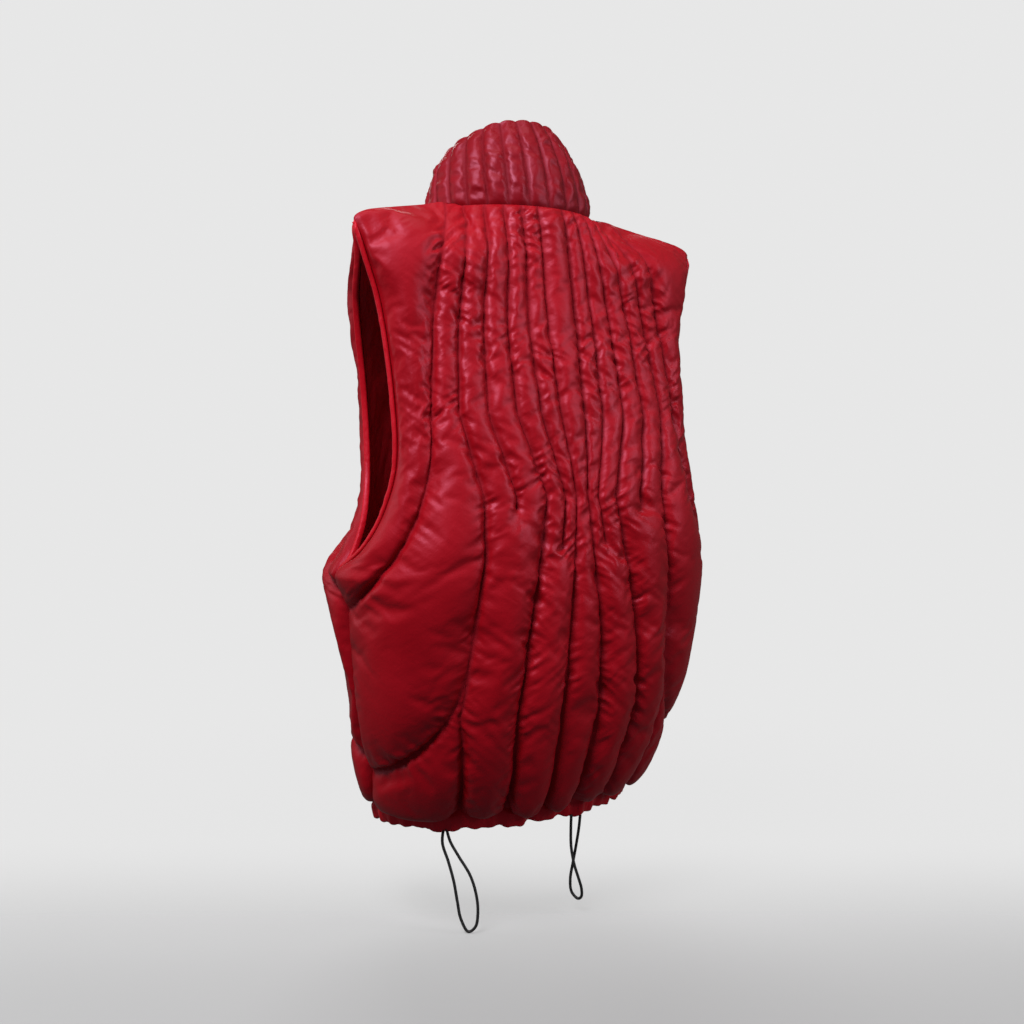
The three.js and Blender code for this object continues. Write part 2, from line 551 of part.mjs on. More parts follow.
// A solid tube of the given section along rings of points; closed on itself, or with flat ends.
function tubeGeometry(rings, closed) {
  const vertices = rings.flatMap((ring) => ring.flatMap((p) => [p.x, p.y, p.z]));
  const sides = rings[0].length;
  const faces = [];
  const count = closed ? rings.length : rings.length - 1;
  for (let r = 0; r < count; r++)
    for (let k = 0; k < sides; k++) {
      const [a, b] = [r * sides + k, r * sides + ((k + 1) % sides)];
      const next = ((r + 1) % rings.length) * sides;
      const [c, d] = [next + k, next + ((k + 1) % sides)];
      faces.push(a, b, d, a, d, c);
    }
  if (!closed)
    for (let k = 1; k < sides - 1; k++) {
      const end = (rings.length - 1) * sides;
      faces.push(0, k + 1, k, end, end + k, end + k + 1);
    }
  return facingOut(vertices, faces);
}

// The armhole's edge as a loop: up the back's edge to the shoulder, then down the front's. Its corners
// are those of the panels.
function armholeLoop() {
  const levels = ROW_LEVELS.filter((level) => level >= UNDERARM_LEVEL);
  const edge = (panel, level) => ({ at: panel.point(1, level), inward: sharedInward(panel, 1, level) });
  const up = levels.map((level) => edge(back, level)).reverse();
  const down = levels.slice(1, -1).map((level) => edge(front, level));
  return [...up, ...down];
}
function addBindings() {
  const loop = armholeLoop();
  const rings = loop.map((p, i) => {
    const before = loop[(i + loop.length - 1) % loop.length].at;
    const after = loop[(i + 1) % loop.length].at;
    const along = after.clone().sub(before).normalize();
    const beyond = along.clone().cross(p.inward).normalize();
    const out = beyond.clone().cross(along).normalize();
    if (out.dot(p.inward) > 0) out.negate();
    const place = (e, n) => p.at.clone().addScaledVector(beyond, e).addScaledVector(out, n);
    const [near, far, soft] = [BINDING.near, BINDING.near + BINDING.width, 1.2];
    return [
      place(near, -BINDING.inside), place(far - soft, -BINDING.inside), place(far, -BINDING.inside + soft),
      place(far, BINDING.outside - soft), place(far - soft, BINDING.outside), place(near, BINDING.outside),
    ];
  });
  const turned = (sign) => rings.map((ring) => ring.map((p) => v3(sign * p.x, p.y, p.z)));
  addPiece("armhole_binding_left", tubeGeometry(turned(1), true), MATERIALS.shell);
  addPiece("armhole_binding_right", tubeGeometry(turned(-1), true), MATERIALS.shell);
}

// The zip runs down the centre front, from just under the collar's rim to the bottom of the casing.
const ZIP = { tapeWall: 1.2, chainHalf: 3, chainWall: 2.6, topGap: 7, sunk: 0.6 };
function centreFront() {
  const rim = collarPoint(1, 1);
  const path = [0.25, 0.6, 1].map((h) => collarPoint(1, h)).reverse();
  path[0].z = rim.z - ZIP.topGap;
  PLAIN_LEVELS.forEach((level) => path.push(front.point(0, level)));
  path.push(front.point(0, HEM_LEVEL).add(v3(0, 0, -CASING.height + 1)));
  return path.map((p) => ({ y: p.y + ZIP.sunk, z: p.z }));
}
function zipStrip(fromX, toX, wall) {
  const path = centreFront();
  return tubeGeometry(path.map((p, i) => {
    const [before, after] = [path[Math.max(0, i - 1)], path[Math.min(path.length - 1, i + 1)]];
    const along = v3(0, after.y - before.y, after.z - before.z).normalize();
    const inward = v3(0, -along.z, along.y);
    const place = (x, depth) => v3(x, p.y + inward.y * depth, p.z + inward.z * depth);
    return [place(fromX, -wall / 2), place(toX, -wall / 2), place(toX, wall / 2), place(fromX, wall / 2)];
  }), false);
}
function addZip() {
  const [tapeIn, tapeOut] = [ZIP.chainHalf + SEAM_GAP, ZIP_HALF - SEAM_GAP / 2];
  addPiece("zip_tape_left", zipStrip(tapeIn, tapeOut, ZIP.tapeWall), MATERIALS.tape);
  addPiece("zip_tape_right", zipStrip(-tapeOut, -tapeIn, ZIP.tapeWall), MATERIALS.tape);
  addPiece("zip_chain", zipStrip(-ZIP.chainHalf, ZIP.chainHalf, ZIP.chainWall), MATERIALS.metal);
}

const wasm = await Module();
wasm.setup();
function solid(geometry, place = v3(0, 0, 0)) {
  const g = geometry.clone();
  g.deleteAttribute("normal");
  g.deleteAttribute("uv");
  const merged = mergeVertices(g.translate(place.x, place.y, place.z));
  return new wasm.Manifold(new wasm.Mesh({
    numProp: 3,
    vertProperties: new Float32Array(merged.attributes.position.array),
    triVerts: new Uint32Array(merged.index.array),
  }));
}
function geometryOf(manifold) {
  const mesh = manifold.getMesh();
  const geometry = new THREE.BufferGeometry();
  geometry.setAttribute("position", new THREE.Float32BufferAttribute(mesh.vertProperties, 3));
  return geometry.setIndex([...mesh.triVerts]);
}

// Slider: two plates held by a post above the end of the chain, and a loop that the pull tab hangs in.
const SLIDER = {
  half: 5.4, length: 15, plate: 1.8, corner: 2, clear: 0.45, post: 3,
  loopInner: 1.6, loopWall: 1.1, loopWidth: 2.4, loopAt: 0.45,
};
const TAB = {
  half: 4, armHalf: 0.8, length: 34, corner: 1.2,
  bar: 0.9, barInset: 0.1, window: 2.2, windowFoot: 8, windowCorner: 0.8,
};
function roundedPlate(half, low, high, corner) {
  const shape = new THREE.Shape();
  shape.moveTo(-half + corner, low);
  shape.lineTo(half - corner, low);
  shape.quadraticCurveTo(half, low, half, low + corner);
  shape.lineTo(half, high - corner);
  shape.quadraticCurveTo(half, high, half - corner, high);
  shape.lineTo(-half + corner, high);
  shape.quadraticCurveTo(-half, high, -half, high - corner);
  shape.lineTo(-half, low + corner);
  shape.quadraticCurveTo(-half, low, -half + corner, low);
  return shape;
}
// An outline in X and Z, made as thick as asked along Y and centred there.
function uprightPlate(shape, thickness) {
  const geometry = new THREE.ExtrudeGeometry(shape, {
    depth: thickness, bevelEnabled: false, curveSegments: 4,
  });
  return geometry.translate(0, 0, -thickness / 2).rotateX(Math.PI / 2);
}
function addSliderAndTab() {
  const path = centreFront();
  const chainTop = path[0];
  const front0 = chainTop.y - ZIP.chainWall / 2 - SLIDER.clear;
  const behind0 = chainTop.y + ZIP.chainWall / 2 + SLIDER.clear;
  const top = chainTop.z + SEAM_GAP + SLIDER.post;
  const plate = uprightPlate(roundedPlate(SLIDER.half, top - SLIDER.length, top, SLIDER.corner),
    SLIDER.plate);
  const post = new THREE.BoxGeometry(SLIDER.post, behind0 - front0 + 1, SLIDER.post);
  const pivot = v3(0, front0 - SLIDER.plate - SLIDER.loopInner, top - SLIDER.length * SLIDER.loopAt);
  const ringOuter = SLIDER.loopInner + SLIDER.loopWall;
  const loopShape = new THREE.Shape().absarc(0, 0, ringOuter, 0, 2 * Math.PI, false);
  loopShape.holes.push(new THREE.Path().absarc(0, 0, SLIDER.loopInner, 0, 2 * Math.PI, true));
  const loop = new THREE.ExtrudeGeometry(loopShape, {
    depth: SLIDER.loopWidth, bevelEnabled: false, curveSegments: 10,
  }).translate(0, 0, -SLIDER.loopWidth / 2).rotateY(Math.PI / 2);
  const body = solid(plate, v3(0, front0 - SLIDER.plate / 2, 0))
    .add(solid(plate, v3(0, behind0 + SLIDER.plate / 2, 0)))
    .add(solid(post, v3(0, (front0 + behind0) / 2, top - SLIDER.post / 2)))
    .add(solid(loop, pivot));
  addPiece("zip_slider", geometryOf(body), MATERIALS.metal);

  const barLength = 2 * (TAB.half - TAB.barInset);
  const bar = new THREE.CylinderGeometry(TAB.bar, TAB.bar, barLength, 12).rotateZ(Math.PI / 2);
  const head = TAB.bar * 0.6;
  const outline = roundedPlate(TAB.half, -TAB.length, head, TAB.corner);
  const window = roundedPlate(TAB.window, -TAB.windowFoot, head + TAB.half, TAB.windowCorner);
  const tabPlate = solid(uprightPlate(outline, 2 * TAB.armHalf))
    .subtract(solid(uprightPlate(window, 4 * TAB.armHalf)))
    .add(solid(bar));
  const hung = tabPlate.translate([pivot.x, pivot.y, pivot.z]);
  addPiece("zip_pull_tab", geometryOf(hung), MATERIALS.metal);
}

// Elastic cord: each loop leaves the casing, hangs down and comes back up into it.
// Points are along the hem, out from the casing, and down from its foot.
const CORDS = [
  {
    name: "drawcord_left",
    t: 0.335,
    path: [[-4, 0, 0], [-3.2, 0.3, 12], [-9, 0.8, 30], [-14.5, 1, 50], [-18, 1, 70], [-21.5, 0.5, 88],
      [-29, 0, 101], [-36, 0, 96], [-38.5, 0, 82], [-37, 0.2, 64], [-31, 0.8, 44], [-19, 1, 24],
      [-11, 0.5, 10], [-7, 0, 0]],
  },
  {
    name: "drawcord_right",
    t: 0.543,
    path: [[6, 0, 0], [7, 0.5, 12], [8.5, 2.5, 30], [7, 5.5, 48], [3.5, 8, 62], [-0.5, 8.5, 74],
      [-3, 6, 84], [-4, -1, 88], [-1.5, -7, 82], [1, -6.5, 68], [-1, -4.5, 50], [-3, -2, 32],
      [-5.5, -0.5, 14], [-7, 0, 0]],
  },
];
function addCord({ name, t, path }) {
  const out = hemOut(t);
  const along = v3(out.y, -out.x, 0);
  const hemLength = 2 * (HEM_SHARES.front + HEM_SHARES.back);
  const origin = hemPoint(t).addScaledVector(out, -1).add(v3(0, 0, -CASING.height));
  // The ends of the path rise to meet the gathers that they come out of.
  const foot = (a) => {
    const gathers = [-CORD_RADIUS, 0, CORD_RADIUS].map((side) => gather(t - (a + side) / hemLength));
    const lowest = Math.max(...gathers);
    return CASING.scallop * (lowest > 0 ? lowest : lowest / 2) + SEAM_GAP;
  };
  const curve = new THREE.CatmullRomCurve3(path.map(([a, o, d], i) => {
    const end = i === 0 || i === path.length - 1;
    return origin.clone().addScaledVector(along, a).addScaledVector(out, o)
      .add(v3(0, 0, end ? -foot(a) : -d - CASING.scallop));
  }), false, "centripetal");
  const section = new THREE.Shape().absarc(0, 0, CORD_RADIUS, 0, 2 * Math.PI, false);
  const steps = Math.round(curve.getLength() / (CORD_RADIUS * 5));
  const tube = new THREE.ExtrudeGeometry(section, {
    extrudePath: curve, steps, curveSegments: 4, bevelEnabled: false,
  });
  addPiece(name, tube, MATERIALS.cord);
}

addBody();
addCollar();
addCasing();
addBindings();
addZip();
addSliderAndTab();
CORDS.forEach(addCord);

export default vest;
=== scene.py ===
import math

import bmesh
import bpy
import numpy as np
from mathutils import Matrix, Vector, noise


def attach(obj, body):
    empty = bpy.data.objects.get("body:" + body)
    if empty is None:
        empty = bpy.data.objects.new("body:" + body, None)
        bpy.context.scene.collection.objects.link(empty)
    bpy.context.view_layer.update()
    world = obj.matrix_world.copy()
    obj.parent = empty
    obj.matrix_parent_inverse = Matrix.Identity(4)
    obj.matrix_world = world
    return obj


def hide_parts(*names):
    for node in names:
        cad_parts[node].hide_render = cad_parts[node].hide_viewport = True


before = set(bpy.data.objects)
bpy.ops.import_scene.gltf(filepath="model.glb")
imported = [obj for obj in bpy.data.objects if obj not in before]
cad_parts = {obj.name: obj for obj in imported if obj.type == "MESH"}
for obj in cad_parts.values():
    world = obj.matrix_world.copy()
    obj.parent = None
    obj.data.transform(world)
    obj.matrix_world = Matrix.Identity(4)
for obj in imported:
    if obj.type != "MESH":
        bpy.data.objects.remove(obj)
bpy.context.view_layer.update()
MM = 0.001

# Driving sizes, as in the part's source.
SHOULDER_HALF = 207
SHOULDER_DROP = 35
HEM_LEVEL = -602
UNDERARM_LEVEL = -362
NECK = {"half_width": 88, "half_depth": 72, "centre_y": -46, "front_drop": 78, "point_angle": 66}
ZIP_HALF = 7
PUFF_LIMIT = 15
PUFF_SLOPE = 0.85
SHOULDER_PUFF = 9
TIP_LIFT = 9
LINING_DEPTH = 4.2
CASING = {"height": 19, "wall": 5, "gathers": 42, "ripple": 2.6, "scallop": 2.4, "cut_width": 52}
BINDING = {"near": 0.5, "width": 5, "outside": 1.8, "inside": 4.6, "sides": 16, "cut_width": 18}
CORD_RADIUS = 1.5
CORD_SIDES = 14
CORD_STEP = 1.6
CORD_POINTS = 12
SEAM_GAP = 0.3
SEAM_WALL = 3.5
SEWN_CLOSE = 1e-6
RIM = {
    "half_width": 67, "back_depth": 64, "front_depth": 45, "centre_y": -73,
    "back_height": 93, "front_height": 8, "fall": 0.78,
}
COLLAR = {
    "channels": 24, "round": 500, "puff": 6.5, "belly": 5, "inner_puff": 2.5,
    "foot_in": 1.2, "foot_down": 1.6, "fold_at": 0.985,
}

SECTION_FIELDS = ("level", "half", "y_mid", "y_edge", "z_mid", "z_edge", "sweep", "square")
BACK_SECTIONS = [
    (-50, 197, 33, 5, -47, -60, 52, 1),
    (-100, 183, 40, 9, -98, -104, 56, 1),
    (-185, 176, 58, 21, -185, -187, 60, 0.97),
    (-258, 177, 74, 28, -258, -258, 66, 0.92),
    (-305, 187, 81, 20, -305, -305, 74, 0.87),
    (-340, 199, 83, 0, -340, -340, 84, 0.84),
    (-362, 207, 84, -33, -362, -362, 90, 0.83),
    (-420, 192, 84, -34, -420, -420, 90, 0.82),
    (-490, 180, 77, -38, -490, -490, 90, 0.82),
    (-550, 167, 60, -48, -550, -550, 90, 0.9),
    (-602, 148, 32, -60, -602, -602, 90, 1),
]
FRONT_SECTIONS = [
    (-50, 197, -119, -12, -126, -60, 44, 1),
    (-100, 184, -126, -42, -166, -104, 48, 1),
    (-185, 168, -134, -58, -228, -187, 52, 1),
    (-258, 168, -140, -52, -280, -258, 58, 1),
    (-305, 179, -142, -38, -315, -305, 68, 1),
    (-340, 193, -143, -33, -343, -340, 84, 1),
    (-362, 207, -143, -33, -362, -362, 90, 1),
    (-420, 192, -143, -34, -420, -420, 90, 1),
    (-490, 180, -143, -38, -490, -490, 90, 1),
    (-550, 167, -142, -48, -550, -550, 90, 1),
    (-602, 148, -140, -60, -602, -602, 90, 1),
]

# Stitched lines: distance from the centre line, round the cloth, at each level, and where they are sewn.
LINE_LEVELS = (0, -50, -130, -210, -290, -350, -420, -500, -602)
WHOLE = ((0, HEM_LEVEL),)
BACK_LINES = [
    ((15, 16, 17, 14, 7, 12, 19, 22, 17), WHOLE),
    ((32, 35, 39, 37, 20, 29, 40, 45, 36), ((0, -338),)),
    ((50, 55, 63, 64, 42, 52, 64, 71, 57), WHOLE),
    ((69, 77, 89, 94, 75, 80, 91, 98, 79), ((0, -302),)),
    ((91, 101, 115, 123, 108, 110, 119, 126, 103), WHOLE),
    ((116, 126, 140, 150, 148, 148, 152, 157, 130), ((0, -215),)),
]
BACK_SWEEPS = [
    ((150, -215), (157, -262), (176, -316), (208, -362), (246, -394), (292, -408)),
    ((119, -420), (127, -470), (146, -514), (178, -546), (214, -562), (262, -570)),
]
FRONT_LINES = [
    ((30, 29, 28, 28, 28, 29, 31, 32, 27), WHOLE),
    ((64, 60, 56, 57, 58, 60, 64, 65, 54), WHOLE),
    ((100, 93, 86, 88, 90, 94, 99, 99, 82), WHOLE),
    ((138, 128, 117, 120, 124, 130, 136, 134, 111), WHOLE),
    ((178, 164, 149, 153, 160, 168, 174, 170, 140), ((0, -215),)),
]
FRONT_SWEEPS = [
    ((153, -215), (164, -262), (188, -316), (222, -362), (258, -394), (300, -408)),
    ((136, -420), (144, -470), (163, -514), (196, -546), (232, -562), (280, -570)),
]


def unit(vectors):
    return vectors / np.maximum(np.linalg.norm(vectors, axis=-1, keepdims=True), 1e-12)


def smooth(t):
    t = np.clip(t, 0, 1)
    return t * t * (3 - 2 * t)


def hermite(t, span, start, end, leave, arrive):
    """A smooth step from start to end over a span, with the slopes that it leaves and arrives with."""
    return ((2 * t ** 3 - 3 * t ** 2 + 1) * start + (t ** 3 - 2 * t ** 2 + t) * span * leave
            + (-2 * t ** 3 + 3 * t ** 2) * end + (t ** 3 - t ** 2) * span * arrive)


def wavy(places, size, seed):
    """Smooth noise from -1 to 1 at places (n, 3) in millimetres, with waves about as long as size."""
    shift = Vector((seed * 7.31, seed * 3.17, seed * 5.77))
    found = [noise.noise(Vector(place) / size + shift) for place in places.reshape(-1, 3)]
    return np.array(found).reshape(places.shape[:-1])


def wavy_run(run, size, seed):
    """The same noise along one run of lengths."""
    return wavy(np.stack([run, run * 0, run * 0], -1), size, seed)


# The garment's base shape

def neck_point(angle):
    angle = np.asarray(angle, float)
    ahead = np.clip((np.abs(angle) - NECK["point_angle"]) / (180 - NECK["point_angle"]), 0, 1)
    turn = np.radians(angle)
    return np.stack([
        NECK["half_width"] * np.sin(turn),
        NECK["centre_y"] + NECK["half_depth"] * np.cos(turn),
        -NECK["front_drop"] * (1 - np.cos(ahead * np.pi)) / 2,
    ], -1)


FRONT_ANGLE = 180 - math.degrees(math.asin(ZIP_HALF / NECK["half_width"]))
SHOULDER_TIP = np.array([SHOULDER_HALF, 0, -SHOULDER_DROP], float)
SECTION_STEPS = 200
SWEEP_POINTS = 80


def run_of(points):
    return np.concatenate([[0], np.cumsum(np.linalg.norm(np.diff(points, axis=0), axis=1))])


class EvenCurve:
    """A curve through points, run through at an even pace from 0 to 1."""

    def __init__(self, points):
        self.points = points
        run = run_of(points)
        self.length = run[-1]
        self.share = run / run[-1]

    def at(self, s):
        return np.stack([np.interp(s, self.share, self.points[:, k]) for k in range(3)], -1)


def section_curve(row, start_x):
    section = dict(zip(SECTION_FIELDS, row))
    sweep = math.radians(section["sweep"])
    s = np.linspace(0, 1, SECTION_STEPS + 1)
    bow = np.maximum(0, (np.cos(s * sweep) - math.cos(sweep)) / (1 - math.cos(sweep)))
    reach = np.sin(s * sweep) / math.sin(sweep)
    square = section["square"]
    return EvenCurve(np.stack([
        start_x + (section["half"] - start_x) * reach ** square,
        section["y_edge"] + (section["y_mid"] - section["y_edge"]) * bow ** square,
        section["z_edge"] + (section["z_mid"] - section["z_edge"]) * bow,
    ], -1))


def line_across(across, level):
    return np.interp(-np.asarray(level, float), [-l for l in LINE_LEVELS], across)


def smooth_run(corners):
    """Points along a smooth run through its corners."""
    knots = np.array(corners, float)
    share = run_of(knots)
    share = share / share[-1]
    slope = np.gradient(knots, share, axis=0)
    t = np.linspace(0, 1, SWEEP_POINTS)
    i = np.clip(np.searchsorted(share, t, side="right") - 1, 0, len(knots) - 2)
    span = (share[i + 1] - share[i])[:, None]
    f = ((t - share[i]) / span[:, 0])[:, None]
    return hermite(f, span, knots[i], knots[i + 1], slope[i], slope[i + 1])


def nearest_on(run, u, w):
    """Distance from pattern points to a run of stitches, the nearest place on it and its arc length."""
    a, b = run[:-1], run[1:]
    step = b - a
    length = np.maximum((step ** 2).sum(1), 1e-9)
    start = run_of(run)[:-1]
    t = np.clip(((u[:, None] - a[:, 0]) * step[:, 0] + (w[:, None] - a[:, 1]) * step[:, 1]) / length, 0, 1)
    px, py = a[:, 0] + t * step[:, 0], a[:, 1] + t * step[:, 1]
    gap = np.hypot(u[:, None] - px, w[:, None] - py)
    best = gap.argmin(1)
    rows = np.arange(len(u))
    along = start[best] + t[rows, best] * np.sqrt(length[best])
    return gap[rows, best], np.column_stack([px[rows, best], py[rows, best]]), along


class Panel:
    """One half of a garment panel, from its centre line (s = 0) to its side (s = 1), between levels."""

    def __init__(self, sections, from_angle, start_x, lines, sweeps):
        t = np.linspace(0, 1, 121)
        neck = neck_point(from_angle + (NECK["point_angle"] - from_angle) * t)
        shoulder = neck[-1] + (SHOULDER_TIP - neck[-1]) * t[1:, None]
        top = EvenCurve(np.concatenate([neck, shoulder]))
        self.neck_share = run_of(neck)[-1] / top.length
        self.start_x = start_x
        self.curves = [top] + [section_curve(row, start_x) for row in sections]
        self.knots = np.array([0] + [row[0] for row in sections], float)
        self.corner = int(np.flatnonzero(self.knots == UNDERARM_LEVEL)[0])
        self.lines = lines
        self.runs = []
        for across, sewn in lines:
            for high, low in sewn:
                levels = np.linspace(high, low, math.ceil((high - low) / 6) + 1)
                self.runs.append(np.column_stack([line_across(across, levels), levels]))
        self.sweeps = [smooth_run(corners) for corners in sweeps]
        self.runs += self.sweeps

    def between(self, values, level):
        """Smooth through the rings: values (rings, n, k) at levels (n,). The underarm is a corner."""
        last = len(self.knots) - 1
        i = np.clip(np.searchsorted(-self.knots, -level, side="left") - 1, 0, last - 1)
        cell = np.arange(len(level))

        def slope(a, b):
            a, b = np.maximum(a, 0), np.minimum(b, last)
            return (values[b, cell] - values[a, cell]) / (self.knots[b] - self.knots[a])[:, None]

        first = slope(np.where(i == self.corner, i, i - 1), i + 1)
        second = slope(i, np.where(i + 1 == self.corner, i + 1, i + 2))
        span = (self.knots[i + 1] - self.knots[i])[:, None]
        t = (level - self.knots[i])[:, None] / span
        return hermite(t, span, values[i, cell], values[i + 1, cell], first, second)

    def points(self, s, level):
        s, level = np.broadcast_arrays(np.asarray(s, float), np.asarray(level, float))
        flat = np.abs(s).ravel()
        values = np.stack([curve.at(flat) for curve in self.curves])
        found = self.between(values, level.ravel()).reshape(s.shape + (3,))
        found[..., 0] *= np.where(s < 0, -1, 1)
        return found

    def width(self, level):
        level = np.asarray(level, float)
        lengths = np.array([curve.length for curve in self.curves])[:, None, None]
        values = np.broadcast_to(lengths, (len(self.curves), level.size, 1))
        return self.between(values, level.ravel())[:, 0].reshape(level.shape)

    def normals(self, s, level):
        ds = np.where(s > 0.99, -0.004, 0.004)
        above_corner = (level < UNDERARM_LEVEL + 3) & (level > UNDERARM_LEVEL)
        dl = np.where((level < HEM_LEVEL + 3) | above_corner, 2.0, -2.0)
        here = self.points(s, level)
        across = (self.points(s + ds, level) - here) * np.sign(ds)[..., None]
        down = (self.points(s, level + dl) - here) * -np.sign(dl)[..., None]
        n = unit(np.cross(across, down))
        side = n[..., 1] * (-1 if self.start_x else 1) + n[..., 0] * np.sign(s)
        return np.where(side[..., None] < 0, -n, n)

    def lift(self, s, level):
        """How far the filling lifts the cloth, and what the nearest stitched run is like there."""
        width = self.width(level)
        u = (np.abs(s) * width).ravel()
        flat_level, flat_width = level.ravel(), width.ravel()
        found = [nearest_on(run, u, flat_level) for run in self.runs]
        gaps = np.stack([gap for gap, _, _ in found])
        alongs = np.stack([along for _, _, along in found])
        nearest = gaps.argmin(0)
        cell = np.arange(len(u))
        stitch = gaps[nearest, cell], alongs[nearest, cell]
        centre = u if self.start_x else nearest_on(self.runs[0], -u, flat_level)[0]
        side = (flat_width - u) * np.where(flat_level > UNDERARM_LEVEL, 0.5, 1)
        neck_end = self.neck_share * flat_width
        top = np.hypot(np.maximum(0, u - neck_end), flat_level)
        bounds = np.sort(np.vstack([gaps, centre, side, top, flat_level - HEM_LEVEL]), axis=0)
        free = np.sqrt(np.maximum(0, bounds[0]) * np.maximum(0, bounds[1]))
        rise = PUFF_LIMIT * np.tanh(PUFF_SLOPE * free / PUFF_LIMIT)
        away = smooth(np.minimum(1, -flat_level / 90))
        t = np.clip((u - neck_end) / (flat_width - neck_end), 0, 1)
        shoulder = SHOULDER_PUFF * np.sqrt(4 * t * (1 - t))
        rise = np.where(u > neck_end, away * rise + (1 - away) * shoulder, rise)
        return rise.reshape(s.shape), stitch[0].reshape(s.shape), stitch[1].reshape(s.shape)


back = Panel(BACK_SECTIONS, 0, 0, BACK_LINES, BACK_SWEEPS)
front = Panel(FRONT_SECTIONS, FRONT_ANGLE, ZIP_HALF, FRONT_LINES, FRONT_SWEEPS)


# Short ways to place and join shader nodes

class Nodes:
    """Places and joins nodes in one tree. Inputs are given by label, or by number as in0, in1 and so on."""

    def __init__(self, tree):
        self.tree = tree

    def feed(self, node, **inputs):
        for label, value in inputs.items():
            key = int(label[2:]) if label.startswith("in") else label.replace("_", " ")
            if isinstance(value, bpy.types.NodeSocket):
                self.tree.links.new(value, node.inputs[key])
            else:
                node.inputs[key].default_value = value

    def add(self, kind, settings=None, **inputs):
        node = self.tree.nodes.new(kind)
        for key, value in (settings or {}).items():
            setattr(node, key, value)
        self.feed(node, **inputs)
        return node

    def group(self, tree, **inputs):
        return self.add("ShaderNodeGroup", {"node_tree": tree}, **inputs).outputs

    def attribute(self, name):
        return self.add("ShaderNodeAttribute", {"attribute_name": name}).outputs["Fac"]

    def math(self, operation, a, b=0.0, clamp=False):
        settings = {"operation": operation, "use_clamp": clamp}
        return self.add("ShaderNodeMath", settings, in0=a, in1=b).outputs[0]

    def plus(self, a, b):
        return self.math("ADD", a, b)

    def times(self, a, b):
        return self.math("MULTIPLY", a, b)

    def vector_math(self, operation, **inputs):
        return self.add("ShaderNodeVectorMath", {"operation": operation}, **inputs).outputs

    def noise(self, vector, scale, detail, roughness=0.5):
        inputs = {"Vector": vector, "Scale": scale, "Detail": detail, "Roughness": roughness}
        return self.add("ShaderNodeTexNoise", **inputs).outputs["Fac"]

    def spread(self, value, low, high, to_low=0.0, to_high=1.0, kind="LINEAR"):
        """Takes low to high onto to_low to to_high."""
        node = self.add("ShaderNodeMapRange", {"interpolation_type": kind}, Value=value,
                        in1=low, in2=high, in3=to_low, in4=to_high)
        return node.outputs["Result"]

    def mix(self, factor, a, b):
        return self.add("ShaderNodeMix", {"data_type": "RGBA"}, in0=factor, in6=a, in7=b).outputs[2]

    def bump(self, height, strength, distance):
        node = self.add("ShaderNodeBump", Strength=strength, Distance=distance, Height=height)
        return node.outputs["Normal"]


def new_material(name):
    material = bpy.data.materials.new(name)
    material.use_nodes = True
    return material, Nodes(material.node_tree), material.node_tree.nodes["Principled BSDF"]


def place_mesh(bm, name, material):
    data = bpy.data.meshes.new(name)
    bm.to_mesh(data)
    bm.free()
    data.materials.append(material)
    placed = bpy.data.objects.new(name, data)
    scene.collection.objects.link(placed)
    return placed


# Camera, light and floor

AXIS = Vector((0, -0.033, 0))
LIGHT_TARGET = (0, -0.033, -0.28)
VIEW_ANGLE = math.radians(146)
VIEW_TILT = math.radians(2.3)
VIEW_DISTANCE = 1.365
VIEW_HEIGHT = -0.250
PICTURE_SIDE = 1024
FOCAL_PIXELS = 1295
SHIFT_PIXELS = (-5, -4)
SENSOR_WIDTH = 36
TO_CAMERA = Vector((math.sin(VIEW_ANGLE), -math.cos(VIEW_ANGLE), 0))
VIEW_RIGHT = Vector((-TO_CAMERA.y, TO_CAMERA.x, 0))

scene = bpy.context.scene


def aim(obj, target):
    away = (obj.location - Vector(target)).normalized()
    obj.rotation_euler = away.to_track_quat("Z", "Y").to_euler()


def add_camera():
    data = bpy.data.cameras.new("camera")
    data.sensor_width = SENSOR_WIDTH
    data.lens = FOCAL_PIXELS / PICTURE_SIDE * SENSOR_WIDTH
    data.shift_x, data.shift_y = (pixels / PICTURE_SIDE for pixels in SHIFT_PIXELS)
    camera = bpy.data.objects.new("camera", data)
    scene.collection.objects.link(camera)
    camera.location = AXIS + TO_CAMERA * VIEW_DISTANCE + Vector((0, 0, VIEW_HEIGHT))
    ahead = -TO_CAMERA * math.cos(VIEW_TILT) - Vector((0, 0, math.sin(VIEW_TILT)))
    aim(camera, camera.location + ahead)
    scene.camera = camera


add_camera()


# Each soft box stands to the right of the view from the object's axis, towards it, and up, in metres.
LIGHT_FIELDS = ("name", "right", "near", "up", "size", "power")
LIGHTS = [
    ("key_box", -0.65, 1.4, 1.45, (0.9, 1.0), 62),
    ("fill_box", 1.7, 0.6, 0.6, (0.5, 1.4), 14),
    ("top_box", 0.1, 0.1, 1.8, (1.3, 0.7), 5),
    ("left_box", -1.7, -0.1, 0.2, (0.7, 1.2), 5),
    ("front_box", -0.2, -1.7, 0.55, (1.2, 1.2), 20),
]
WORLD_LIGHT = 0.11
BACKGROUND = 0.80


def area_light(name, right, near, up, size, power):
    data = bpy.data.lights.new(name, "AREA")
    data.shape = "RECTANGLE"
    data.size, data.size_y = size
    data.energy = power
    light = bpy.data.objects.new(name, data)
    scene.collection.objects.link(light)
    light.location = AXIS + VIEW_RIGHT * right + TO_CAMERA * near + Vector((0, 0, up))
    aim(light, LIGHT_TARGET)


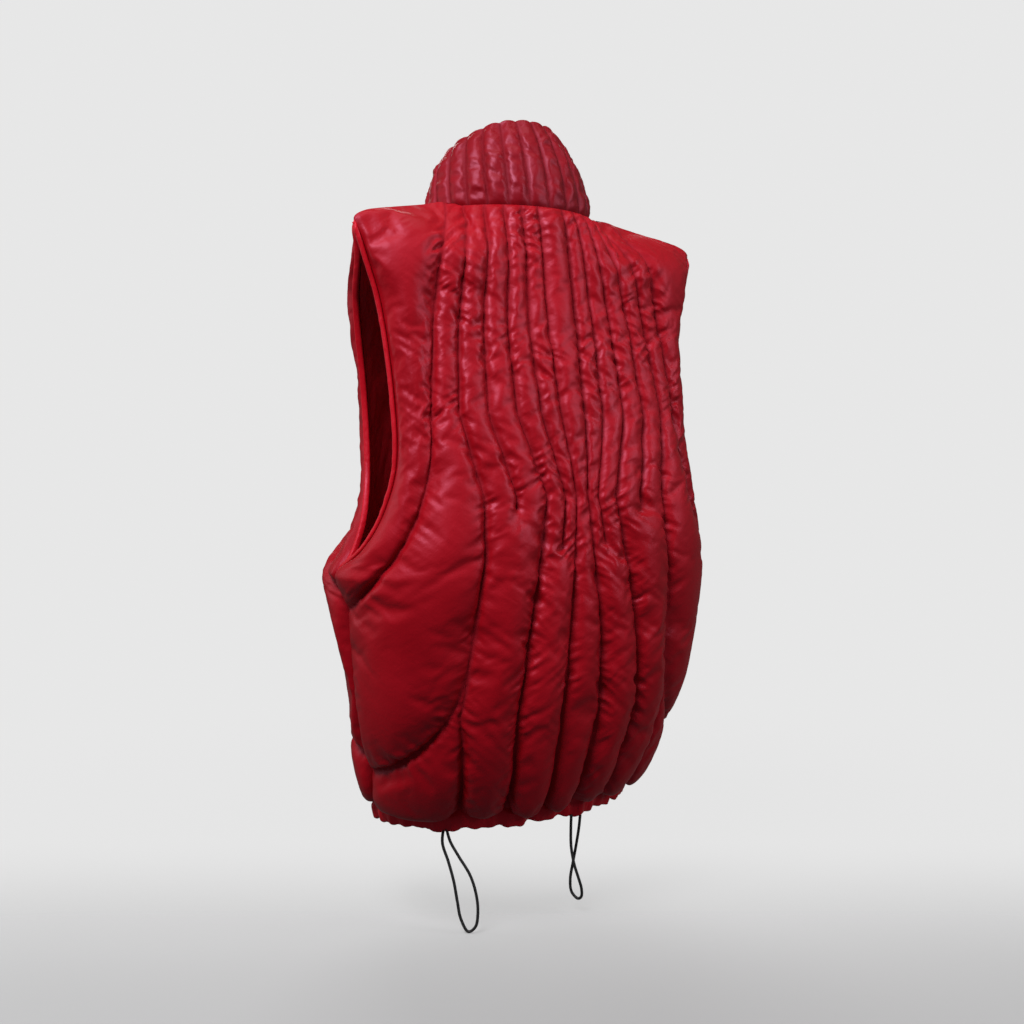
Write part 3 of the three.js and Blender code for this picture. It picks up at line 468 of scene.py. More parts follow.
def add_world():
    """A plain pale studio: the camera sees an even pale wall, and the object is lit more softly."""
    world = bpy.data.worlds.new("studio")
    world.use_nodes = True
    nodes = Nodes(world.node_tree)
    seen = nodes.add("ShaderNodeLightPath").outputs["Is Camera Ray"]
    strength = nodes.spread(seen, 0, 1, WORLD_LIGHT, BACKGROUND)
    nodes.feed(world.node_tree.nodes["Background"], Color=(1, 1, 1, 1), Strength=strength)
    scene.world = world
    scene.view_settings.view_transform = "Standard"
    scene.view_settings.look = "None"


add_world()
for row in LIGHTS:
    area_light(**dict(zip(LIGHT_FIELDS, row)))

FLOOR = {"level": -0.7265, "radius": 3.0, "colour": (0.39, 0.39, 0.394, 1)}


def add_floor():
    """A pale floor that fades into the pale wall round it, and away from the camera: its darker colour,
    showing more towards the camera, is painted shade, and its fade behind the object thins the object's
    shadow.
    """
    bm = bmesh.new()
    bmesh.ops.create_circle(bm, cap_ends=True, segments=96, radius=FLOOR["radius"])
    bmesh.ops.translate(bm, verts=bm.verts, vec=AXIS + Vector((0, 0, FLOOR["level"])))
    paint, nodes, shader = new_material("pale_floor")
    place = nodes.add("ShaderNodeTexCoord").outputs["Object"]
    across = nodes.vector_math("MULTIPLY", in0=place, in1=(1, 1, 0))[0]
    reach = nodes.vector_math("LENGTH", in0=across)["Value"]
    ahead = nodes.vector_math("DOT_PRODUCT", in0=across, in1=TO_CAMERA)["Value"]
    round_fade = nodes.spread(reach, 0.45, 1.2, 1.0, 0.0, "SMOOTHSTEP")
    # Painted shade: the floor's darker colour shows more and more towards the camera, darkening the near
    # floor as if the light fell off there; behind the object it hardly shows, which thins the object's
    # shadow.
    far_fade = nodes.spread(ahead, -0.26, 0.32, 0.04, 0.97, "SMOOTHSTEP")
    nodes.feed(shader, Base_Color=FLOOR["colour"], Roughness=0.9, Specular_IOR_Level=0.1,
               Alpha=nodes.times(round_fade, far_fade))
    floor = place_mesh(bm, "floor", paint)
    floor.visible_diffuse = floor.visible_glossy = False


add_floor()


# Materials

VECTOR = "NodeSocketVector"
FLOAT = "NodeSocketFloat"


def new_group(name, inputs, outputs):
    """A node group, the sockets that it is given, and the node that its results go to."""
    group = bpy.data.node_groups.new(name, "ShaderNodeTree")
    for way, sockets in (("INPUT", inputs), ("OUTPUT", outputs)):
        for label, kind in sockets.items():
            group.interface.new_socket(label, in_out=way, socket_type=kind)
    nodes = Nodes(group)
    return group, nodes, nodes.add("NodeGroupInput").outputs, nodes.add("NodeGroupOutput")


def weave_group():
    """Plain weave on a map in metres: threads of a given pitch across and along."""
    group, nodes, given, out = new_group(
        "plain_weave", {"Vector": VECTOR, "Threads": FLOAT}, {"Height": FLOAT, "Thread": FLOAT})
    axes = nodes.add("ShaderNodeSeparateXYZ", Vector=given["Vector"]).outputs
    wave_u, wave_v = (nodes.math("SINE", nodes.times(nodes.times(axes[way], given["Threads"]), math.pi))
                      for way in "XY")
    streak = nodes.add("ShaderNodeCombineXYZ", X=nodes.times(axes["X"], 900.0),
                       Y=nodes.times(axes["Y"], 40.0))
    nodes.feed(out, Height=nodes.spread(nodes.times(wave_u, wave_v), -1, 1),
               Thread=nodes.noise(streak.outputs[0], 1.0, 2.0))
    return group


def crinkle_group():
    """Fine creases of thin pressed cloth, as a height from 0 to 1, and slow patches of tone."""
    group, nodes, given, out = new_group(
        "fine_crinkle", {"Vector": VECTOR, "Scale": FLOAT}, {"Height": FLOAT, "Tone": FLOAT})
    place, scale = given["Vector"], given["Scale"]
    broad = nodes.noise(place, scale, 4.0, 0.55)
    sharp = nodes.noise(place, nodes.times(scale, 2.7), 3.0)
    ridge = nodes.math("ABSOLUTE", nodes.math("SUBTRACT", sharp, 0.5))
    slow = nodes.noise(place, nodes.times(scale, 0.22), 2.0)
    nodes.feed(out, Height=nodes.plus(nodes.times(broad, 0.7), nodes.times(ridge, 0.9)),
               Tone=nodes.spread(slow, 0.3, 0.7))
    return group


def pucker_group():
    """Short slanting creases that gather at a line of stitches, on a map in metres."""
    group, nodes, given, out = new_group("seam_pucker", {"Vector": VECTOR}, {"Height": FLOAT})
    sets = []
    for lean, offset in ((38, 0.0), (-35, 3.7)):
        turned = nodes.add("ShaderNodeMapping", {"vector_type": "TEXTURE"}, Vector=given["Vector"],
                           Location=(offset, offset, 0), Rotation=(0, 0, math.radians(lean)),
                           Scale=(1 / 28, 1 / 100, 1.0))
        crest = nodes.noise(turned.outputs[0], 1.0, 2.0, 0.55)
        away = nodes.times(3.0, nodes.math("ABSOLUTE", nodes.math("SUBTRACT", crest, 0.5)))
        sets.append(nodes.math("SUBTRACT", 1.0, away, clamp=True))
    which = nodes.spread(nodes.noise(given["Vector"], 28.0, 1.0), 0.42, 0.58)
    other = nodes.times(sets[1], nodes.math("SUBTRACT", 1.0, which))
    nodes.feed(out, Height=nodes.plus(nodes.times(sets[0], which), other))
    return group


WEAVE = weave_group()
CRINKLE = crinkle_group()
PUCKER = pucker_group()


def linear(red, green, blue):
    """A screen colour, 0 to 255, as the shader takes it."""
    def one(value):
        value /= 255
        return value / 12.92 if value <= 0.04045 else ((value + 0.055) / 1.055) ** 2.4
    return (one(red), one(green), one(blue), 1)


STITCH = {"pitch": 3.2, "share": 0.72, "half_width": 0.3}


def quilting(nodes, colour, dark, rough, height):
    """Painted shade in the folds beside the stitches, which are also duller, with dashes of thread on them,
    and how strong puckers are.
    """
    gap = nodes.attribute("stitch_gap")
    beat = nodes.math("FRACT", nodes.times(nodes.attribute("stitch_run"), 1 / STITCH["pitch"]))
    dash = nodes.times(nodes.math("LESS_THAN", beat, STITCH["share"]),
                       nodes.math("LESS_THAN", gap, STITCH["half_width"]))
    # Painted shade: the colour turns to a deeper red in the folds beside the stitches, where shade falls.
    fold = nodes.math("POWER", nodes.spread(gap, 0.2, 3.6, 1.0, 0.0), 1.7)
    painted_seam_shade = tuple(channel * 0.4 for channel in dark[:3]) + (1,)
    colour = nodes.mix(nodes.times(fold, 0.42), colour, painted_seam_shade)
    colour = nodes.mix(nodes.times(dash, 0.5), colour, dark)
    rough = nodes.plus(rough, nodes.times(fold, 0.4))
    return colour, rough, nodes.plus(height, nodes.times(dash, 0.12)), nodes.spread(gap, 1.0, 14.0, 0.7, 0.2)


def nylon(name, light, dark, crinkle_scale=70.0, stitched=True):
    """Glossy down-proof nylon: close weave, fine creases, and, where it is quilted, thread and painted shade
    in the folds by the stitches.
    """
    material, nodes, shader = new_material(name)
    place = nodes.add("ShaderNodeTexCoord").outputs
    crinkle = nodes.group(CRINKLE, Vector=place["Object"], Scale=crinkle_scale)
    weave = nodes.group(WEAVE, Vector=place["UV"], Threads=2200.0)
    pucker = nodes.group(PUCKER, Vector=place["UV"])
    tone = nodes.plus(nodes.times(crinkle["Tone"], 0.7), nodes.times(weave["Thread"], 0.3))
    colour = nodes.mix(tone, dark, light)
    height = nodes.plus(nodes.times(crinkle["Height"], 0.55), nodes.times(weave["Height"], 0.012))
    rough = nodes.spread(crinkle["Tone"], 0, 1, 0.4, 0.53)
    strength = 0.6
    if stitched:
        colour, rough, height, strength = quilting(nodes, colour, dark, rough, height)
    height = nodes.plus(height, nodes.times(pucker["Height"], strength))
    nodes.feed(shader, Base_Color=colour, Roughness=rough, Normal=nodes.bump(height, 0.6, 0.001),
               Specular_IOR_Level=0.46, Specular_Tint=(1.0, 0.36, 0.58, 1))
    return material


def woven(name, light, dark, threads, roughness):
    """Plain woven tape on the object's own coordinates, its tone varying at random, with painted shade
    between its threads.
    """
    material, nodes, shader = new_material(name)
    place = nodes.add("ShaderNodeTexCoord").outputs["Object"]
    crinkle = nodes.group(CRINKLE, Vector=place, Scale=220.0)
    turned = nodes.add("ShaderNodeMapping", Vector=place, Rotation=(math.radians(90), 0, 0))
    weave = nodes.group(WEAVE, Vector=turned.outputs[0], Threads=threads)
    # The tone varies at random in part, and in part is painted shade: darker between the threads, lighter on
    # them.
    tone = nodes.plus(nodes.times(crinkle["Tone"], 0.5), nodes.times(weave["Height"], 0.5))
    nodes.feed(shader, Base_Color=nodes.mix(tone, dark, light), Specular_IOR_Level=0.3,
               Roughness=nodes.spread(crinkle["Tone"], 0, 1, roughness - 0.06, roughness + 0.06),
               Normal=nodes.bump(weave["Height"], 0.6, 0.0003))
    return material


def braid(name, light, dark):
    """Braided elastic on the cord's own map, which runs along it and round it, with painted shade in the
    grooves between its strands.
    """
    material, nodes, shader = new_material(name)
    place = nodes.add("ShaderNodeTexCoord").outputs["UV"]
    axes = nodes.add("ShaderNodeSeparateXYZ", Vector=place).outputs
    lean = nodes.times(axes["Y"], 6 / (2 * math.pi * CORD_RADIUS * MM))
    run = nodes.times(axes["X"], 150.0)
    strands = [nodes.math("SINE", nodes.times(nodes.math(way, run, lean), 2 * math.pi))
               for way in ("ADD", "SUBTRACT")]
    height = nodes.math("MAXIMUM", *strands)
    # Painted shade and highlight: the strands are painted lighter on their crests and darker in the grooves
    # between them.
    tone = nodes.spread(height, -1, 1)
    nodes.feed(shader, Base_Color=nodes.mix(tone, dark, light), Normal=nodes.bump(height, 0.7, 0.0002),
               Roughness=nodes.spread(tone, 0, 1, 0.75, 0.55))
    return material


def worn_metal(name, light, dark):
    """Blackened die-cast zip hardware, with a little wear on it."""
    material, nodes, shader = new_material(name)
    grain = nodes.group(CRINKLE, Vector=nodes.add("ShaderNodeTexCoord").outputs["Object"], Scale=600.0)
    nodes.feed(shader, Base_Color=nodes.mix(grain["Tone"], dark, light), Metallic=0.9,
               Roughness=nodes.spread(grain["Height"], 0.2, 0.9, 0.24, 0.42),
               Normal=nodes.bump(grain["Height"], 0.25, 0.0001))
    return material


SHELL = nylon("red_nylon", linear(160, 4, 18), linear(142, 3, 14))
# The casing and the armhole bindings are the shell's nylon painted lighter: painted light, lifting them out
# of the shade under the filled channels.
LIGHTENED_PLAIN_SHELL = nylon("plain_red_nylon_painted_light", linear(192, 8, 25), linear(172, 5, 20), 110.0, stitched=False)
# The collar is the shell's nylon painted darker: painted shade.
SHADED_COLLAR_SHELL = nylon("collar_red_nylon", linear(132, 4, 15), linear(117, 3, 12))
# The maroon lining is painted brighter than its own colour: painted light inside the armholes, where little
# light reaches.
LINING = nylon("maroon_lining_painted_light", linear(216, 20, 42), linear(176, 14, 31), 45.0, stitched=False)
TAPE = woven("zip_tape_weave", linear(112, 12, 22), linear(78, 7, 14), 1800.0, 0.7)
ELASTIC = braid("black_elastic", linear(34, 33, 35), linear(8, 8, 9))
METAL = worn_metal("blackened_metal", linear(66, 64, 64), linear(38, 37, 38))


# Meshes

BODY_CENTRE = Vector((0, -0.05, 0))


def finish_piece(bm, name, material, replaced):
    piece = place_mesh(bm, name, material)
    piece.data.shade_smooth()
    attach(piece, "vest")
    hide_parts(*replaced)
    return piece


def grid_mesh(places, flat, extras=None):
    """A grid of vertices moved to places (rows, columns, 3) in millimetres. Flat is its cloth map."""
    rows, columns = places.shape[:2]
    bm = bmesh.new()
    bmesh.ops.create_grid(bm, x_segments=columns - 1, y_segments=rows - 1, size=1)
    layer = bm.loops.layers.uv.new("cloth")
    floats = {label: bm.verts.layers.float.new(label) for label in (extras or {})}
    cells = {}
    for vert in bm.verts:
        cell = round((vert.co.y + 1) / 2 * (rows - 1)), round((vert.co.x + 1) / 2 * (columns - 1))
        cells[vert] = cell
        vert.co = Vector(places[cell]) * MM
        for label, float_layer in floats.items():
            vert[float_layer] = float(extras[label][cell])
    for face in bm.faces:
        for loop in face.loops:
            loop[layer].uv = [float(length) * MM for length in flat[cells[loop.vert]]]
    return bm


def closed_mesh(places, flat, extras=None, fill_ends=False):
    """A grid whose edges meet: a tube, or a band folded over, with its open ends filled in on request."""
    bm = grid_mesh(places, flat, extras)
    bmesh.ops.remove_doubles(bm, verts=bm.verts, dist=SEWN_CLOSE)
    if fill_ends:
        bmesh.ops.holes_fill(bm, edges=[edge for edge in bm.edges if edge.is_boundary], sides=0)
    bmesh.ops.recalc_face_normals(bm, faces=bm.faces)
    return bm


def face_out(bm):
    """Turns a one-sided sheet so that it faces away from the wearer."""
    total = 0
    for face in bm.faces:
        away = face.calc_center_median() - BODY_CENTRE
        total += face.calc_area() * (face.normal.x * away.x + face.normal.y * away.y)
    if total < 0:
        bmesh.ops.reverse_faces(bm, faces=bm.faces)


def vertex_values(data, field, width):
    """One field of each item, as an array with width numbers to an item."""
    found = np.empty(len(data) * width)
    data.foreach_get(field, found)
    return found.reshape(-1, width) if width > 1 else found


def attribute_values(piece, label):
    return vertex_values(piece.data.attributes[label].data, "value", 1)


def move_to(piece, places):
    piece.data.vertices.foreach_set("co", places.ravel())
    piece.data.update()


FILL_FRAMES = 18
FILLED_CLOTH = {
    "quality": 6, "mass": 0.12, "tension_stiffness": 18, "compression_stiffness": 18, "shear_stiffness": 4,
    "bending_stiffness": 0.05, "vertex_group_mass": "stitched", "shrink_min": -0.02, "use_pressure": True,
}


def fill_out(piece, pressure, cap):
    """Swells a stitched piece with cloth and pressure. Held points stay, and none moves more than cap."""
    start = vertex_values(piece.data.vertices, "co", 3)
    pins = piece.vertex_groups.new(name="stitched")
    pins.add(np.flatnonzero(attribute_values(piece, "held") > 0.5).tolist(), 1.0, "REPLACE")
    filling = piece.modifiers.new("filling", "CLOTH")
    for key, value in FILLED_CLOTH.items():
        setattr(filling.settings, key, value)
    filling.settings.uniform_pressure_force = pressure
    filling.settings.effector_weights.gravity = 0
    filling.collision_settings.use_collision = False
    filling.collision_settings.use_self_collision = False
    filling.point_cache.frame_start = 1
    filling.point_cache.frame_end = FILL_FRAMES + 1
    for step in range(1, FILL_FRAMES + 1):
        scene.frame_set(step)
    evaluated = piece.evaluated_get(bpy.context.evaluated_depsgraph_get())
    moved = vertex_values(evaluated.data.vertices, "co", 3) - start
    far = np.linalg.norm(moved, axis=1, keepdims=True)
    moved *= cap * np.tanh(far / cap) / np.maximum(far, 1e-9)
    piece.modifiers.remove(filling)
    piece.vertex_groups.clear()
    move_to(piece, start + moved)
    scene.frame_set(1)


def subdivide(piece):
    rounder = piece.modifiers.new("smoothing", "SUBSURF")
    rounder.levels = rounder.render_levels = 1
    shapes = bpy.context.evaluated_depsgraph_get()
    made = bpy.data.meshes.new_from_object(
        piece.evaluated_get(shapes), preserve_all_data_layers=True, depsgraph=shapes)
    piece.modifiers.remove(rounder)
    made.name = piece.data.name
    piece.data = made
    made.shade_smooth()


# The hem line, and the cords that hang from the casing under it

HEM_LENGTHS = {
    "front": float(front.width(np.array([HEM_LEVEL]))[0]),
    "back": float(back.width(np.array([HEM_LEVEL]))[0]),
}
HALF_HEM = sum(HEM_LENGTHS.values())
HEM_CENTRE = np.array([0, -52, HEM_LEVEL])


def hem_points(t):
    """The hem line from the left front edge (0), by the back, to the right front edge (1)."""
    t = np.clip(np.asarray(t, float), 0, 1)
    run = np.minimum(t, 1 - t) * 2 * HALF_HEM
    level = np.full_like(run, HEM_LEVEL)
    on_front = front.points(np.clip(run / HEM_LENGTHS["front"], 0, 1), level)
    share = np.clip((run - HEM_LENGTHS["front"]) / HEM_LENGTHS["back"], 0, 1)
    on_back = back.points(1 - share, level)
    found = np.where((run < HEM_LENGTHS["front"])[..., None], on_front, on_back)
    found[..., 0] *= np.where(t < 0.5, 1, -1)
    return found


def hem_out(t):
    t = np.asarray(t, float)
    along = hem_points(t + 0.002) - hem_points(t - 0.002)
    out = unit(np.stack([along[..., 1], -along[..., 0], np.zeros_like(t)], -1))
    inside_out = (out * (hem_points(t) - HEM_CENTRE)).sum(-1) < 0
    return np.where(inside_out[..., None], -out, out)


def gather(t):
    return np.cos(2 * np.pi * CASING["gathers"] * t + 0.6 * np.sin(2 * np.pi * 7 * t))


def cloth_map(across, along):
    return np.stack(np.broadcast_arrays(across, along), -1)


# Each point is along the hem, out from the casing, and down from its foot.
CORDS = [
    ("drawcord_left", 0.335, [
        (-4, 0, 0), (-3.2, 0.3, 12), (-9, 0.8, 30), (-14.5, 1, 50), (-18, 1, 70), (-21.5, 0.5, 88),
        (-29, 0, 101), (-36, 0, 96), (-38.5, 0, 82), (-37, 0.2, 64), (-31, 0.8, 44), (-19, 1, 24),
        (-11, 0.5, 10), (-7, 0, 0)]),
    ("drawcord_right", 0.543, [
        (6, 0, 0), (7, 0.5, 12), (8.5, 2.5, 30), (7, 5.5, 48), (3.5, 8, 62), (-0.5, 8.5, 74),
        (-3, 6, 84), (-4, -1, 88), (-1.5, -7, 82), (1, -6.5, 68), (-1, -4.5, 50), (-3, -2, 32),
        (-5.5, -0.5, 14), (-7, 0, 0)]),
]


def centripetal(knots):
    """Points along a centripetal Catmull-Rom curve through knots."""
    places = np.concatenate([[2 * knots[0] - knots[1]], knots, [2 * knots[-1] - knots[-2]]])
    steps = np.sqrt(np.linalg.norm(np.diff(places, axis=0), axis=1))
    t = np.linspace(0, 1, CORD_POINTS, endpoint=False)[:, None]
    found = []
    for i in range(1, len(knots)):
        before, here, after = steps[i - 1:i + 2]
        last, start, end, next_one = places[i - 1:i + 3]
        leave = here * ((start - last) / before - (end - last) / (before + here) + (end - start) / here)
        arrive = here * ((end - start) / here - (next_one - start) / (here + after)
                         + (next_one - end) / after)
        found.append(hermite(t, 1.0, start, end, leave, arrive))
    return np.concatenate(found + [knots[-1:]])


def cord_route(place, path):
    out = hem_out(place)
    along = np.array([out[1], -out[0], 0])
    origin = hem_points(place) - out - np.array([0, 0, CASING["height"]])

    def foot(run):
        """How far down the gathered casing reaches at a cord's end."""
        gathers = gather(place - (run + np.array([-CORD_RADIUS, 0, CORD_RADIUS])) / (2 * HALF_HEM))
        lowest = gathers.max()
        return CASING["scallop"] * (lowest if lowest > 0 else lowest / 2) + SEAM_GAP

    knots = []
    for i, (run, away, below) in enumerate(path):
        end = i in (0, len(path) - 1)
        down = foot(run) if end else below + CASING["scallop"]
        knots.append(origin + along * run + out * away - np.array([0, 0, down]))
    return EvenCurve(centripetal(np.array(knots)))


def cord_rings(path):
    along = unit(np.gradient(path, axis=0))
    side = np.empty_like(path)
    last = np.array([0.3, 1, 0.2])
    for i, direction in enumerate(along):
        last = unit(last - direction * (last @ direction))
        side[i] = last
    other = np.cross(along, side)
    turn = np.linspace(0, 2 * np.pi, CORD_SIDES + 1)[None, :, None]
    return path[:, None] + CORD_RADIUS * (np.cos(turn) * side[:, None] + np.sin(turn) * other[:, None])


def add_cord(name, place, path):
    route = cord_route(place, path)
    count = round(route.length / CORD_STEP)
    line = route.at(np.linspace(0, 1, count + 1))
    run = np.linspace(0, route.length, count + 1)[:, None]
    flat = cloth_map(run, np.linspace(0, 2 * math.pi * CORD_RADIUS, CORD_SIDES + 1))
    bm = closed_mesh(cord_rings(line), flat, fill_ends=True)
    piece = finish_piece(bm, name.replace("drawcord", "elastic_cord"), ELASTIC, [name])


for name, place, path in CORDS:
    add_cord(name, place, path)


# Quilted panels

ROWS_ABOVE = 108
ROWS_BELOW = 66
NEAR_SEAMS = 0.55
# Each is the creases' size and how much closer they lie than they are long.
BROAD_CREASES = (11.5, 0.22)
FINE_CREASES = (6.4, 0.26)
LEVELS = np.concatenate([
    np.linspace(0, UNDERARM_LEVEL, ROWS_ABOVE),
    np.linspace(UNDERARM_LEVEL, HEM_LEVEL, ROWS_BELOW)[1:],
])


def seam_columns(panel, counts):
    """Distances across for each row and column, with columns closer near the seams, and what is held."""
    stops = [np.zeros_like(LEVELS)] + [line_across(across, LEVELS) for across, _ in panel.lines]
    stops.append(panel.width(LEVELS))
    across = [stops[0]]
    held = [np.full(len(LEVELS), panel.start_x > 0)]
    for k, count in enumerate(counts):
        last = k == len(panel.lines)
        for i in range(1, count + 1):
            even = i / count
            near_seams = 0.5 - 0.5 * math.cos(even * math.pi)
            if k == 0 and not panel.start_x:
                near_seams = math.sin(even * math.pi / 2)
            pull = 0.0 if last else NEAR_SEAMS
            across.append(stops[k] + (stops[k + 1] - stops[k]) * (even + (near_seams - even) * pull))
            held.append(np.full(len(LEVELS), last and i == count))
        for high, low in () if last else panel.lines[k][1]:
            held[-1] |= (LEVELS <= high) & (LEVELS >= low)
    return np.stack(across, 1), np.stack(held, 1)


def panel_grid(panel, counts):
    """Pattern places of one half: distance across and level for each row and column, and what is held."""
    u, held = seam_columns(panel, counts)
    held[[0, -1]] = True
    level = np.repeat(LEVELS[:, None], u.shape[1], 1)
    half_u = 0.5 * np.gradient(u, axis=1)
    half_w = 0.5 * np.abs(np.gradient(LEVELS))[:, None]
    for run in panel.sweeps:
        near = nearest_on(run, u.ravel(), level.ravel())[1].reshape(u.shape + (2,))
        inside = (np.abs(near[..., 0] - u) <= half_u) & (np.abs(near[..., 1] - level) <= half_w)
        inside[:, [0, -1]] = False
        u = np.where(inside, near[..., 0], u)
        level = np.where(inside, near[..., 1], level)
        held |= inside
    return u, level, held


def both_halves(panel, u, level, held):
    """The grid over the whole panel: share of the half's width, level, what is held, distance across."""
    s = u / panel.width(level)
    if panel.start_x:
        return s, level, held, u
    return [np.concatenate([values[:, :0:-1] * sign, values], 1)
            for values, sign in ((s, -1), (level, 1), (held, 1), (u, -1))]


def outward(panel, s, level):
    """The way the filling pushes: the surface's normal, turned straight up at a shoulder seam."""
    normal = panel.normals(s, level)
    up = smooth(1 + level / 12)[..., None] * (np.abs(s) >= panel.neck_share)[..., None]
    return unit(normal * (1 - up) + np.array([0, 0, 1.0]) * up)


def slanted_creases(across, level, seed, size, stretch):
    """Heights of the creases that cross the channels: they lean one way here, and the other way there."""
    sets = []
    for lean in (math.radians(36), math.radians(-32)):
        over = level * math.cos(lean) - across * math.sin(lean)
        run = level * math.sin(lean) + across * math.cos(lean)
        waves = wavy(np.stack([over, run * stretch, np.full_like(level, seed * 40.0)], -1), size, seed)
        sets.append(0.75 - 3.2 * np.abs(waves))
    flat = np.stack([across, level, level * 0], -1)
    which = smooth(0.5 + 2.2 * wavy(flat, 42, seed + 5))
    patches = np.clip(0.5 + 1.3 * wavy(flat, 58, seed + 7), 0.12, 1)
    return (sets[0] * which + sets[1] * (1 - which)) * patches


def press_creases(piece, seed, depth):
    """Presses short sharp creases into the finished cloth, slanting away from its seams."""
    labels = ("across", "down", "rise", "stitch_gap")
    across, down, rise, gap = (attribute_values(piece, label) for label in labels)
    near = smooth(rise / 4) * (1 - 0.85 * smooth((gap - 5) / 13))
    creases = slanted_creases(across, down, seed, *FINE_CREASES)
    normals = vertex_values(piece.data.vertex_normals, "vector", 3)
    places = vertex_values(piece.data.vertices, "co", 3)
    move_to(piece, places + normals * (near * creases * depth * MM)[:, None])
    for label in ("across", "down", "rise", "held"):
        piece.data.attributes.remove(piece.data.attributes[label])


def fill_and_crease(piece, pressure, cap, seed, depth):
    fill_out(piece, pressure, cap)
    subdivide(piece)
    press_creases(piece, seed, depth)


def hem_droop(level, rise, across, seed):
    """How far the filled channels sag over the casing below them."""
    above = level - HEM_LEVEL
    uneven = 0.85 + 0.55 * wavy_run(across, 34, seed + 9)
    return 15 * uneven * (1 - np.exp(-above / 5)) * np.exp(-(above / 42) ** 2) * np.minimum(1, rise / 9)


def square_tips(places):
    """Lifts the shoulders' outer ends, which stand out straight where the cloth is stiff with filling."""
    beyond_neck = smooth((np.abs(places[..., 0]) - 115) / 90)
    near_tip = np.exp(-((places[..., 2] + SHOULDER_DROP) / 34) ** 2)
    lifted = places.copy()
    lifted[..., 2] += TIP_LIFT * beyond_neck * near_tip
    return lifted


def quilted_panel(name, panel, counts, side, seed):
    """A filled panel of stitched channels, the same on the wearer's left (side 1) and right (side -1)."""
    s, level, held, across = both_halves(panel, *panel_grid(panel, counts))
    rise, gap, run = panel.lift(s, level)
    loose = smooth(rise / 5) * (1 - 0.75 * smooth((gap - 7) / 15))
    height = rise * 0.93 + loose * slanted_creases(across, level, seed, *BROAD_CREASES) * 1.8
    start = square_tips(panel.points(s, level) + outward(panel, s, level) * height[..., None])
    start[..., 2] -= hem_droop(level, rise, across, seed)
    extras = {"stitch_gap": gap, "stitch_run": run, "held": held, "across": across, "down": level,
              "rise": rise}
    bm = grid_mesh(start * np.array([side, 1, 1]), cloth_map(across, level), extras)
    face_out(bm)
    piece = finish_piece(bm, name, SHELL, [name.replace("quilted_", "")])
    fill_and_crease(piece, pressure=2.2, cap=6 * MM, seed=seed + 20, depth=1.5)


# The counts are columns between one stitched line and the next, from the centre to the side.
quilted_panel("quilted_back", back, (4, 8, 8, 8, 8, 8, 26), 1, 1)
quilted_panel("quilted_front_left", front, (8, 8, 8, 8, 8, 14), 1, 2)
quilted_panel("quilted_front_right", front, (8, 8, 8, 8, 8, 14), -1, 3)


# Collar

RIM_ANGLE = 180 - math.degrees(math.asin(ZIP_HALF / RIM["half_width"]))


def rim_point(angle):
    turn = np.radians(angle)
    share = ((1 + np.cos(turn)) / 2) ** RIM["fall"]
    depth = np.where(np.abs(angle) < 90, RIM["back_depth"], RIM["front_depth"])
    return np.stack([
        RIM["half_width"] * np.sin(turn),
        RIM["centre_y"] + depth * np.cos(turn),
        RIM["front_height"] + (RIM["back_height"] - RIM["front_height"]) * share,
    ], -1)


def collar_point(turn, height):
    """Turn goes from the right front edge (-1), by the back (0), to the left front edge (1)."""
    turn, height = np.broadcast_arrays(np.asarray(turn, float), np.asarray(height, float))
    low, high = neck_point(turn * FRONT_ANGLE), rim_point(turn * RIM_ANGLE)
    place = low + (high - low) * height[..., None]
    belly = COLLAR["belly"] * np.sin(np.pi * height) * (1 - np.abs(turn) ** 6)
    away = place - np.array([0, RIM["centre_y"], 0])
    away[..., 2] = 0
    return place + unit(away) * belly[..., None]


def collar_normal(turn, height):
    along = collar_point(turn + 0.004, height) - collar_point(turn - 0.004, height)
    up = collar_point(turn, height + 0.02) - collar_point(turn, height)
    normal = unit(np.cross(along, up))
    away = collar_point(turn, height) - np.array([0, RIM["centre_y"], 0])
    return np.where((normal[..., :2] * away[..., :2]).sum(-1, keepdims=True) < 0, -normal, normal)


def folded_rows(first, last):
    """Rows up one face, round a fold and down the other: the height of each, its share over, and its fold."""
    turn = np.linspace(0, np.pi, 7)[1:-1]
    heights = np.concatenate([first, np.full(len(turn), first[-1]), last])[:, None]
    share = np.concatenate([np.zeros(len(first)), (1 - np.cos(turn)) / 2, np.ones(len(last))])[:, None]
    fold = np.concatenate([np.zeros(len(first)), np.sin(turn), np.zeros(len(last))])[:, None]
    return heights, share, fold


